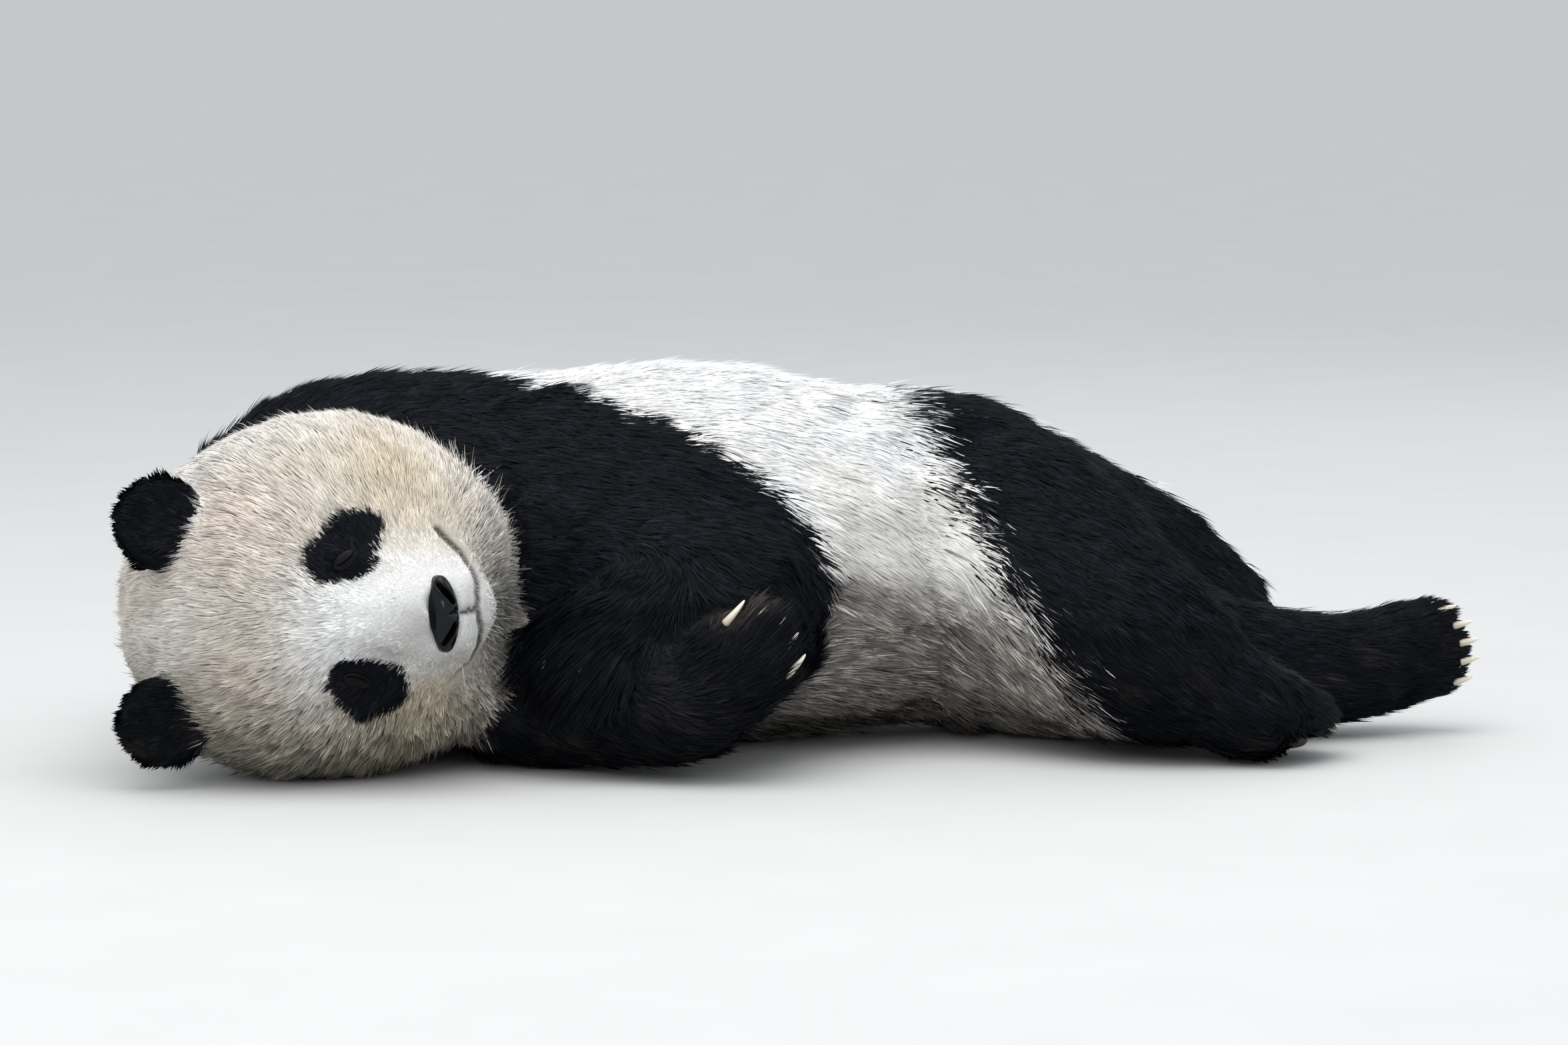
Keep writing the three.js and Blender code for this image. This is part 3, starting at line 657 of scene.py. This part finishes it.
# ---------- eyelids ----------
# The eyes are shut: the lids bulge over them and meet in a crease, dark bare skin inside the black
# patch, a little paler at the inner corner.
LIDS = {1: (-0.004, 0.060), -1: (-0.004, -0.057)}
LID_HALF = (0.0140, 0.0078, 0.0060)  # along the crease, across it and out of the face
LID_SUNK = 0.0036
CREASE_BOW = 0.0022  # the crease bows a little towards the cheek
CREASE_DEEP = 0.0024
CREASE_HALF = 0.0010
LID_BLACK = (0.0015, 0.0015, 0.0018, 1)
CORNER_BROWN = (0.008, 0.007, 0.0065, 1)


def unit(vectors):
    return vectors / np.maximum(np.linalg.norm(vectors, axis=1), 1e-9)[:, None]


def across(vectors, normals):
    """The vectors laid flat on the surface that has those normals."""
    return vectors - (vectors * normals).sum(1)[:, None] * normals


skin_local = in_head(skin_places)
lid_skin, lid_wire = finish("eyelid_skin", Roughness=0.40, Specular_IOR_Level=0.10)
feed(lid_skin,
     Base_Color=lid_wire.attribute("inner_corner").between(LID_BLACK, CORNER_BROWN),
     Normal=lid_wire.noise(500.0, 4.0).bump(0.5, 0.0008))
for side, (x, y) in LIDS.items():
    off = np.hypot(skin_local[:, 0] - x, skin_local[:, 1] - y) + (skin_local[:, 2] < 0.08)
    seat = skin_places[off.argmin()]
    out_way = unit(skin_normals[np.argsort(off)[:40]].mean(0)[None])[0]
    slope = EYES[side][1]
    crease_way = unit(across(from_head([(math.cos(slope), math.sin(slope), 0)]) - np.array(HEAD_AT),
                             out_way[None]))[0]
    bpy.ops.object.select_all(action="DESELECT")
    bpy.ops.mesh.primitive_uv_sphere_add(segments=64, ring_count=48, radius=1)
    lid = bpy.context.object
    lid.name = "eyelid_" + ("left" if side > 0 else "right")
    ball = vertex_places(lid.data)
    bulge = ball * LID_HALF
    bow = CREASE_BOW * (1 - ball[:, 0] ** 2)
    from_crease = bulge[:, 1] * side + bow - 0.001
    crease = np.exp(-((from_crease / CREASE_HALF) ** 2)) * rise(np.abs(ball[:, 0]), 1.0, 0.75)
    bulge[:, 2] -= CREASE_DEEP * crease
    bulge[:, 2] += 0.0009 * rise(from_crease, 0.004, 0.0) * (ball[:, 2] > 0)
    basis = np.array((crease_way, np.cross(out_way, crease_way), out_way))
    move_vertices(lid.data, seat - out_way * LID_SUNK + bulge @ basis)
    select_only(lid)
    bpy.ops.object.shade_smooth()
    inner = np.exp(-((np.linalg.norm(ball - (-0.93, 0, 0.3), axis=1) / 0.28) ** 2))
    write_attribute(lid.data, "inner_corner", "FLOAT_VECTOR", np.repeat(inner[:, None], 3, 1))
    lid.data.materials.append(lid_skin)
    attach(lid, "root")
    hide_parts("eye_" + ("left" if side > 0 else "right"))

# ---------- claws and pads ----------
# Five curved blunt claws of ivory horn on each paw, all of one model, and on each sole bare dark pads:
# a broad one behind the toes and a small round one under each toe.
HAND = {"palm": 0.042, "reach": 0.034, "toe": 0.017, "spread": 0.020, "length": 0.098, "claw": 0.034}
FOOT = {"palm": 0.040, "reach": 0.028, "toe": 0.016, "spread": 0.019, "length": 0.098, "claw": 0.026}
TOE_ARC = (-0.016, -0.003, 0.0, -0.003, -0.014)
PAWS = {
    # name: (wrist or ankle, way of the toes, way of the back, side of the first toe, how far sunk, shape)
    "hand_left": ((-0.041, -0.302, 0.166), (-0.80, -0.25, -0.55), (-0.35, -0.60, 0.72), -1, 0.006, HAND),
    "hand_right": ((0.025, -0.360, 0.080), (0.69, -0.06, 0.72), (0.10, -0.99, 0.0), 1, 0.0, HAND),
    "foot_left": ((0.560, -0.220, 0.046), (0.82, 0.57, 0.0), (0.0, 0.0, 1.0), -1, 0.008, FOOT),
    "foot_right": ((0.711, 0.0, 0.076), (0.97, 0.0, 0.20), (-0.05, -0.99, 0.0), 1, 0.0, FOOT),
}
CLAW_RINGS = 9
CLAW_BEND = 0.9  # how far round it curves, in radians
CLAW_THICK = 0.0056  # half its height at the root
HORN_ROOT = (0.36, 0.31, 0.24, 1)
HORN_TIP = (0.86, 0.81, 0.68, 1)
PAD_DARK = (0.020, 0.017, 0.016, 1)
PAD_PALE = (0.062, 0.052, 0.048, 1)
TOE_PAD_HALF = (0.0125, 0.0095, 0.0085)
BROAD_PAD_HALF = (0.020, 0.036, 0.011)
BARE_ROUND_PAD = 0.002  # how far past a pad the hair stays off
bpy.ops.object.select_all(action="DESELECT")
bpy.ops.mesh.primitive_circle_add(vertices=14, radius=1, fill_type="NGON")
claw_model = bpy.context.object
edit_all()
for _ in range(CLAW_RINGS):
    bpy.ops.mesh.extrude_region_move(TRANSFORM_OT_translate={"value": (0, 0, 1 / CLAW_RINGS)})
bpy.ops.mesh.select_all(action="SELECT")
bpy.ops.mesh.normals_make_consistent(inside=False)
bpy.ops.object.mode_set(mode="OBJECT")
apply_modifier("SUBSURF", levels=1, render_levels=1)
rod = vertex_places(claw_model.data)
CLAW_ALONG = np.clip(rod[:, 2], 0, 1)

horn, horn_wire = finish("claw_horn", Roughness=0.36)
horn_grain = horn_wire.noise(260.0, 3.0)
horn_colour = horn_wire.attribute("along").between(HORN_ROOT, HORN_TIP)
feed(horn,
     Base_Color=horn_colour.scaled(horn_grain * 0.35 + 0.80),
     Normal=horn_grain.bump(0.25, 0.0006))
pad_skin, pad_wire = finish("pad_skin", Roughness=0.68)
pad_place = pad_wire.node("TexCoord", out=3)
pad_grain = pad_wire.node(
    "TexVoronoi", {"feature": "DISTANCE_TO_EDGE"}, {"Vector": pad_place, "Scale": 420.0})
feed(pad_skin,
     Base_Color=pad_grain.between(PAD_DARK, PAD_PALE),
     Normal=pad_grain.bump(0.6, 0.001))

pad_places = []  # (middle, half sizes, axes) of each pad, kept bare of hair
claw_places = []  # (root, way it points, how long the hair about it is)
CLAW_HAIR = {"hand_right": (0.018, 0.046, 0.050, 0.048, 0.032), "hand_left": (0.062,) * 5,
             "foot_right": (0.024, 0.014, 0.016, 0.016, 0.018), "foot_left": (0.030,) * 5}
for paw, (at, toes, back, thumb, drawn_back, shape) in PAWS.items():
    along_toes = unit(np.array([toes], float))[0]
    to_first = unit(np.cross(back, along_toes)[None])[0] * thumb
    out_of_back = np.cross(along_toes, to_first) * thumb
    paw_axes = np.array((along_toes, to_first, out_of_back))
    soles = []
    for toe, arc in enumerate(TOE_ARC):
        tip = np.array((shape["length"] + arc - shape["toe"], (2 - toe) * shape["spread"],
                        shape["palm"] - shape["toe"] - 0.014))
        base = tip + (shape["toe"] * 0.45 - drawn_back, 0, shape["toe"] * 0.35)
        turn = CLAW_BEND * CLAW_ALONG
        radius = shape["claw"] / CLAW_BEND
        thick = CLAW_THICK * (0.14 + 0.86 * (1 - CLAW_ALONG) ** 0.7)
        lift = rod[:, 0] * thick * 1.15
        curved = np.c_[np.sin(turn) * (radius + lift), rod[:, 1] * thick * 0.8,
                       np.cos(turn) * (radius + lift) - radius]
        claw = claw_model.copy()
        claw.data = claw_model.data.copy()
        claw.name = paw + "_horn_" + str(toe + 1)
        bpy.context.scene.collection.objects.link(claw)
        move_vertices(claw.data, np.array(at) + (base + curved) @ paw_axes)
        claw.data.polygons.foreach_set("use_smooth", np.ones(len(claw.data.polygons), bool))
        write_attribute(claw.data, "along", "FLOAT_VECTOR", np.repeat(CLAW_ALONG[:, None] ** 0.8, 3, 1))
        claw.data.materials.append(horn)
        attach(claw, "root")
        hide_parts(paw + "_claw_" + str(toe + 1))
        chord = np.array((math.sin(CLAW_BEND), 0, math.cos(CLAW_BEND) - 1)) * radius
        claw_way = unit((chord @ paw_axes)[None])[0]
        claw_places.append((np.array(at) + base @ paw_axes, claw_way, CLAW_HAIR[paw][toe]))
        soles.append((tip - (0.004, 0, shape["toe"] * 0.62), TOE_PAD_HALF))
    soles.append(((shape["reach"] + 0.022, 0, 0.005 - shape["palm"] * 0.72), BROAD_PAD_HALF))
    cushions = []
    for middle, half in soles:
        bpy.ops.object.select_all(action="DESELECT")
        bpy.ops.mesh.primitive_uv_sphere_add(segments=28, ring_count=20, radius=1)
        cushion = bpy.context.object
        round_place = vertex_places(cushion.data)
        squared = np.sign(round_place) * np.abs(round_place) ** 0.85 * half
        placed = np.array(at) + (np.array(middle) + squared) @ paw_axes
        placed[:, 2] = np.maximum(placed[:, 2], 0.0008)
        move_vertices(cushion.data, placed)
        cushions.append(cushion)
        pad_middle = np.array(at) + np.array(middle) @ paw_axes
        pad_places.append((pad_middle, np.array(half) + BARE_ROUND_PAD, paw_axes))
    select_only(*cushions)
    bpy.ops.object.join()
    cushion = bpy.context.object
    cushion.name = paw + "_pads"
    cushion.data.name = paw + "_pads"
    bpy.ops.object.shade_smooth()
    cushion.data.materials.append(pad_skin)
    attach(cushion, "root")
bpy.data.objects.remove(claw_model)

# ---------- lie of the coat ----------
# Hair lies away from the nose over the face, out from the roots of the ears, along each limb towards
# its paw, and over the trunk from the shoulders to the rump, drooping a little towards the floor.
LIE = {
    "neck": (0.80, 0.35, 0.10), "trunk": (1.0, -0.05, -0.30), "tail": (0.7, 0.5, -0.8),
    "upper_arm_left": (0.86, -0.40, -0.04), "forearm_left": (-0.60, -0.60, -0.40),
    "hand_left": (-0.80, -0.25, -0.55),
    "upper_arm_right": (0.40, -0.85, -0.20), "forearm_right": (0.85, -0.40, -0.15),
    "thigh_left": (0.74, -0.40, -0.42), "shank_left": (0.80, -0.35, -0.35), "foot_left": (0.33, -0.94, 0.0),
    "thigh_right": (0.85, -0.30, -0.20), "shank_right": (0.93, 0.20, -0.12),
    "foot_right": (0.97, 0.0, 0.10),
}
FANS = {
    # part: the place that its hair fans out from
    "hand_right": (-0.075, -0.350, 0.030),
    "ear_left": tuple(from_head((-0.105, 0.085, -0.005))),
    "ear_right": tuple(from_head((-0.110, -0.075, -0.005))),
    "head": tuple(from_head(NOSE_TIP)),
}
lie = np.zeros_like(skin_places)
for node, number in part.items():
    way = unit(skin_places - FANS[node]) if node in FANS else np.tile(LIE[node], (len(skin_places), 1))
    lie += unit(across(way, skin_normals)) * share[:, [number]]
for _ in range(3):
    lie = unit(across(soften(lie, 6), skin_normals))

# ---------- coat ----------
# Locks of hair, each a thin tapering blade with a ridge along it, rooted in the skin. Neighbouring tips
# draw together into tufts. They are joined into a few meshes, each the locks of one part of the body.
LOCKS = 366000
LOCKS_IN_PIECE = 49000
UV_PATCH = 0.003
# A blade's points are its root, its two sides, the top of its ridge and its tip: how far along it each
# lies, how far aside and how far out, in breadths, and how pale it is, darker towards the root as
# painted shade.
BLADE_FACES = np.array(((0, 1, 3), (0, 3, 2), (1, 4, 3), (3, 4, 2)))
BLADE_ALONG = np.array((0.0, 0.36, 0.48, 0.42, 1.0))
BLADE_ASIDE = np.array((0.0, -0.5, 0.5, 0.0, 0.0))
BLADE_RIDGE = np.array((0.0, 0.0, 0.0, 0.34, 0.0))
BLADE_SHADE = np.array((0.78, 0.93, 0.96, 1.0, 1.05))
BLADE_ENDS = len(BLADE_ALONG)
ROOT_SUNK = 0.0012  # in the skin
SPACING = (0.0010, 0.019)  # between roots: on the shortest hair, and how much more by its length
BROADEST = 0.0045
GUARD_SHARE = 0.05  # of the locks, longer and finer hairs that stand clear of the rest
GUARD_LONGER = 1.15
GUARD_STANDS = 1.8
GUARD_FINER = 0.38
BELLY_HANGS = 0.012
TOE_REACH = (0.046, 0.026)  # from a claw's root, where its hair starts to point its way, and all does
LEADERS_EACH = 20  # locks in a tuft
RAGGED = 0.009  # how far the hair strays over the edge of a marking
WHISKER_PADS = ((0.100, 0.034, 0.172), (0.100, -0.034, 0.172))
dice = np.random.default_rng(20)

mesh = skin.data
mesh.calc_loop_triangles()
triangles = read(mesh.loop_triangles, "vertices", kind=np.int64)
loops = read(mesh.loop_triangles, "loops", kind=np.int64)
skin_uv = read(mesh.uv_layers["OFBake"].data, "uv", 2)
corner = skin_places[triangles]
face_area = np.linalg.norm(np.cross(corner[:, 1] - corner[:, 0], corner[:, 2] - corner[:, 0]), axis=1) / 2
spacing = SPACING[0] + SPACING[1] * skin_length
crowd = 1 / spacing**2
crowd *= 1 - 0.8 * rise(-skin_normals[:, 2], 0.5, 0.8) * rise(skin_places[:, 2], 0.03, 0.015)
crowd *= 1 - 0.5 * rise(skin_normals[:, 1] - 0.4 * skin_normals[:, 2], 0.0, 0.5)  # thinner on the far side
weight = face_area * crowd[triangles].mean(1)
scale = math.sqrt(weight.sum() / LOCKS)  # what the spacing has to grow by to give that many locks
steps = (np.arange(LOCKS) + dice.uniform(0, 1, LOCKS)) / LOCKS * weight.sum()
chosen = np.minimum(np.searchsorted(np.cumsum(weight), steps), len(weight) - 1)
first, second = dice.uniform(0, 1, (2, LOCKS))
first = np.sqrt(first)
bary = np.stack((1 - first, first * (1 - second), first * second), 1)


def at_roots(values):
    """Values at the skin's vertices, read at the roots of the locks."""
    return np.einsum("nk,nkc->nc", bary, values[triangles[chosen]])


root = at_roots(skin_places)
normal = unit(at_roots(skin_normals))
flow = unit(across(at_roots(lie), normal))
root_share = at_roots(share)
root_uv = np.einsum("nk,nkc->nc", bary, skin_uv[loops[chosen]])
length = hair_length(root, root_share)
gap = scale / np.sqrt(at_roots(crowd[:, None])[:, 0])
local = in_head(root)

# Bare places: the lids, the pads and under the nose.
BARE_LID = (0.011, 0.0045)
BARE_NOSE = (0.0105, 0.032, 0.022)
bare = np.zeros(LOCKS, bool)
for side, (x, y) in LIDS.items():
    slope = EYES[side][1]
    reach = local[:, :2] - (x, y)
    along = reach @ (math.cos(slope), math.sin(slope))
    beside = reach @ (-math.sin(slope), math.cos(slope))
    bare |= (np.hypot(along / BARE_LID[0], beside / BARE_LID[1]) < 1) & (local[:, 2] > 0.08)
bare |= np.linalg.norm((local - NOSE_AT) / BARE_NOSE, axis=1) < 1
for middle, half, axes in pad_places:
    bare |= np.linalg.norm(((root - middle) @ axes.T) / half, axis=1) < 1
keep = np.flatnonzero(~bare)

wander = 0.11 * ripple(root, 0.07, 3) + 0.06 * ripple(root, 0.025, 4) + dice.normal(0, 0.07, LOCKS)
side_way = np.cross(normal, flow)
flow = unit(flow + wander[:, None] * side_way)
side_way = np.cross(normal, flow)
length = length * np.exp(dice.normal(0, 0.14, LOCKS)) * (1 + 0.10 * ripple(root, 0.03, 6))
stand = STANDS_OUT * length * np.exp(dice.normal(0, 0.13, LOCKS)) * (1 + 0.07 * ripple(root, 0.05, 7))
stand *= 1 + 0.6 * rise(local[:, 0], 0.13, 0.18) * root_share[:, part["head"]]
stand *= 1 + 0.4 * rise(np.linalg.norm(local - NOSE_TIP, axis=1), 0.10, 0.18) * root_share[:, part["head"]]
breadth = np.minimum(gap * 0.85, BROADEST) * np.exp(dice.normal(0, 0.2, LOCKS))
curl = dice.normal(0, 0.05, LOCKS)
guard = dice.uniform(0, 1, LOCKS) < GUARD_SHARE
length[guard] *= GUARD_LONGER
stand[guard] *= GUARD_STANDS
breadth[guard] *= GUARD_FINER
droop = 0.10 * length * (1 - np.abs(normal[:, 2])) * (root_share[:, part["trunk"]] + 0.5)
under = root_share[:, part["trunk"]] * rise(-normal[:, 2], 0.1, 0.7) * rise(root[:, 2], 0.10, 0.06)
stand += BELLY_HANGS * under * dice.uniform(0.4, 1.3, LOCKS)

# Toes: the hair about each claw points its way, and hides the claw's root or more of it.
from_claw = np.stack([np.linalg.norm(root - claw_root, axis=1) for claw_root, _, _ in claw_places], 1)
nearest_claw = from_claw.argmin(1)
nearness = rise(from_claw.min(1), *TOE_REACH)
near = nearness > 0
shared = nearness[near]
claw_way = np.array([way for _, way, _ in claw_places])[nearest_claw[near]]
hair = np.array([hair for _, _, hair in claw_places])[nearest_claw[near]]
hair = hair * dice.uniform(0.75, 1.1, near.sum())
rises = np.clip((normal[near] * claw_way).sum(1), 0.25, 0.85)
turned_way = flow[near] * (1 - shared)[:, None] + claw_way * (shared * 1.2)[:, None]
flow[near] = unit(across(turned_way, normal[near]))
stand[near] += (hair * rises - stand[near]) * shared
length[near] += (hair * np.sqrt(1 - rises**2) - length[near]) * shared
side_way = np.cross(normal, flow)

# Tufts: every lock leans to the nearest of the roots that lead.
leaders = keep[::LEADERS_EACH]
near_leader = KDTree(len(leaders))
for number, lock in enumerate(leaders):
    near_leader.insert(root[lock], number)
near_leader.balance()
leader = leaders[np.array([near_leader.find(place)[1] for place in root])]
tip_reach = root + flow * length[:, None]
low_cheek = root_share[:, part["head"]] * rise(root[:, 2], 0.14, 0.05)
white_top = (1 - at_roots(skin_black[:, None])[:, 0]) * (1 - root_share[:, part["head"]])
white_top *= rise(root[:, 2], 0.20, 0.28)
together = (tip_reach[leader] - tip_reach) * (0.32 + 0.13 * low_cheek - 0.14 * white_top)[:, None]
stand *= 1 - 0.15 * white_top
breadth *= 1 + 0.10 * white_top
too_far = np.linalg.norm(together, axis=1) > 0.5 * length
together[too_far] = 0

# Whiskers: a few dozen fine stiff hairs on the lips' pads, and a looser fringe along the chin.
pads = np.minimum(*[np.linalg.norm(local - middle, axis=1) for middle in WHISKER_PADS])
whisker = (pads < 0.026) & (dice.uniform(0, 1, LOCKS) < 0.008)
chin_hair = (local[:, 0] > 0.13) & (np.abs(local[:, 1]) < 0.10) & (dice.uniform(0, 1, LOCKS) < 0.02)
chin_hair &= root_share[:, part["head"]] > 0.5
for few, long, wide in ((whisker, 0.030, 0.0004), (chin_hair, 0.034, 0.0006)):
    length[few] = long * np.exp(dice.normal(0, 0.25, few.sum()))
    stand[few] = 0.5 * length[few]
    breadth[few] = wide
    together[few] = 0

# Colour: each lock's own tone, its tuft's, and paler tips over darker roots on the stained belly and the
# cheeks, partly the hair's own colour and partly painted shade between the locks.
ragged = dice.normal(0, RAGGED, LOCKS) + 0.0022 * ripple(root, 0.05, 8)
ragged *= 1 - 0.68 * root_share[:, part["head"]]
colour, black = hair_colour(root, root_share, ragged)
shade = np.exp(dice.normal(0, 0.07, LOCKS)) * (1 + 0.05 * ripple(root, 0.02, 11))
stain_and_shade = rise(root[:, 2], 0.22, 0.12) * (1 - black) * (1 - root_share[:, part["head"]])
behind_middle = root[:, 1] - np.interp(root[:, 0], BODY_MIDDLE[0], BODY_MIDDLE[1])
stain_and_shade *= 1 - 0.75 * rise(behind_middle, -0.10, 0.06)
tuft_tone = dice.normal(0, 1, LOCKS)[leader]
# On the white of the upper trunk the roots are painted lighter and the tips darker: painted light against
# the shade the locks cast on each other.
paler_tips = 1.0 * stain_and_shade + 0.75 * low_cheek + 0.30 * root_share[:, part["head"]] - 0.28 * white_top
paler_tips += 0.8 * root_share[:, part["head"]] * rise(local[:, 0], 0.120, 0.150)
shade *= np.exp(stain_and_shade * (dice.normal(0.08, 0.42, LOCKS) + 0.30 * tuft_tone))
shade *= np.exp(root_share[:, part["head"]] * (dice.normal(0, 0.07, LOCKS) + 0.05 * tuft_tone))
# The lower cheek is darker on average: painted shade under the head, with random tone from lock to lock.
shade *= np.exp(low_cheek * (dice.normal(-0.12, 0.24, LOCKS) + 0.18 * tuft_tone))
speckled = np.exp(-((np.linalg.norm(local - (0.065, -0.01, 0.185), axis=1) / 0.055) ** 4))
speckled = np.maximum(speckled, rise(local[:, 0], 0.120, 0.150)) * root_share[:, part["head"]]
shade *= np.exp(speckled * dice.normal(0.0, 0.24, LOCKS))
# Black locks differ in tone from lock to lock and tuft to tuft; the paler ones stand in for the sheen along
# the hair: painted highlights.
shade *= np.exp(black * (dice.normal(0, 0.40, LOCKS) + 0.20 * tuft_tone))

coat_hair, coat_wire = finish("panda_coat", Roughness=0.55, Specular_IOR_Level=0.06)
strand = coat_wire.attribute("strand", 1)
streaks = coat_wire.node(
    "TexNoise", None,
    {"Vector": coat_wire.node("VectorMath", {"operation": "MULTIPLY"}, {0: strand, 1: (5.0, 0.9, 31.0)}),
     "Scale": 1.0, "Detail": 2.0})
feed(coat_hair, Base_Color=coat_wire.attribute("coat_colour", 0).scaled(streaks * 0.36 + 0.82))


def add_locks(name, chosen):
    """A mesh of the chosen locks, which rides on the body."""
    n = len(chosen)
    along = BLADE_ALONG[None, :, None]
    blades = np.repeat(root[chosen][:, None, :], BLADE_ENDS, 1)
    blades -= normal[chosen][:, None, :] * ROOT_SUNK
    blades += flow[chosen][:, None, :] * along * length[chosen][:, None, None]
    out = stand[chosen][:, None, None] * (1 - (1 - along) ** 2)
    blades += normal[chosen][:, None, :] * out
    blades += side_way[chosen][:, None, :] * (curl * length)[chosen][:, None, None] * along**2
    blades += together[chosen][:, None, :] * along**2
    blades[:, :, 2] -= droop[chosen][:, None] * along[:, :, 0] ** 2
    blades += side_way[chosen][:, None, :] * (BLADE_ASIDE[None, :, None] * breadth[chosen][:, None, None])
    facing = normal[chosen] + dice.normal(0, 0.12, (n, 3)) + flow[chosen] * 0.12
    turned = facing[:, None, :] + side_way[chosen][:, None, :] * (BLADE_ASIDE[None, :, None] * 0.9)
    turned = unit(turned.reshape(-1, 3))
    blades += normal[chosen][:, None, :] * (BLADE_RIDGE[None, :, None] * breadth[chosen][:, None, None])
    floor_clear = 0.0006 + 0.002 * dice.uniform(0, 1, (n, 1))
    blades[:, :, 2] = np.maximum(blades[:, :, 2], floor_clear)

    faces = (np.arange(n)[:, None, None] * BLADE_ENDS + BLADE_FACES[None]).reshape(-1, 3)
    mesh = bpy.data.meshes.new(name)
    mesh.vertices.add(n * BLADE_ENDS)
    mesh.vertices.foreach_set("co", blades.ravel())
    mesh.loops.add(faces.size)
    mesh.loops.foreach_set("vertex_index", faces.ravel())
    mesh.polygons.add(len(faces))
    mesh.polygons.foreach_set("loop_start", np.arange(len(faces)) * 3)
    mesh.polygons.foreach_set("loop_total", np.full(len(faces), 3))
    mesh.update(calc_edges=True)
    mesh.polygons.foreach_set("use_smooth", np.ones(len(faces), bool))
    patch = np.stack((BLADE_ASIDE, BLADE_ALONG - 0.5), 1) * UV_PATCH
    uv = (root_uv[chosen][:, None, :] + patch[None]).reshape(-1, 2)
    layer = mesh.uv_layers.new(name="OFBake")
    layer.data.foreach_set("uv", uv[faces.ravel()].ravel())
    to_tip = np.exp(paler_tips[chosen][:, None] * (BLADE_ALONG[None] - 0.60))
    tone = colour[chosen][:, None, :] * (shade[chosen][:, None] * BLADE_SHADE[None] * to_tip)[:, :, None]
    write_attribute(mesh, "coat_colour", "FLOAT_COLOR",
                    np.concatenate((tone, np.ones((n, BLADE_ENDS, 1))), 2).reshape(-1, 4))
    strand_place = np.stack((np.tile(BLADE_ASIDE * 2, (n, 1)), np.tile(BLADE_ALONG, (n, 1)),
                             np.repeat(dice.uniform(0, 1, (n, 1)), BLADE_ENDS, 1)), 2)
    write_attribute(mesh, "strand", "FLOAT_VECTOR", strand_place.reshape(-1, 3))
    write_attribute(mesh, "custom_normal", "FLOAT_VECTOR", turned)  # shades like the body under it
    mesh.validate()
    piece = bpy.data.objects.new(name, mesh)
    bpy.context.scene.collection.objects.link(piece)
    mesh.materials.append(coat_hair)
    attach(piece, "root")


COATS = {
    # name: (the parts of the body, the record's finish)
    "coat_head": (["head"], "coat_white"),
    "coat_ears": (["ear_left", "ear_right"], "coat_black"),
    "coat_trunk": (["trunk", "tail"], "coat_white"),
    "coat_shoulders": (["neck", "upper_arm_left", "upper_arm_right"], "coat_black"),
    "coat_forearms": (["forearm_left", "forearm_right"], "coat_black"),
    "coat_thighs": (["thigh_left", "thigh_right"], "coat_black"),
    "coat_shanks": (["shank_left", "shank_right"], "coat_black"),
    "coat_paws": (["hand_left", "hand_right", "foot_left", "foot_right"], "coat_black"),
}
main_part = root_share.argmax(1)
for name, (nodes, slot) in COATS.items():
    mine = keep[np.isin(main_part[keep], [part[node] for node in nodes])]
    mine = mine[np.argsort(root[mine, 0], kind="stable")]
    pieces = math.ceil(len(mine) / LOCKS_IN_PIECE)
    for number, locks in enumerate(np.array_split(mine, pieces)):
        add_locks(name + "_" + str(number + 1), locks)
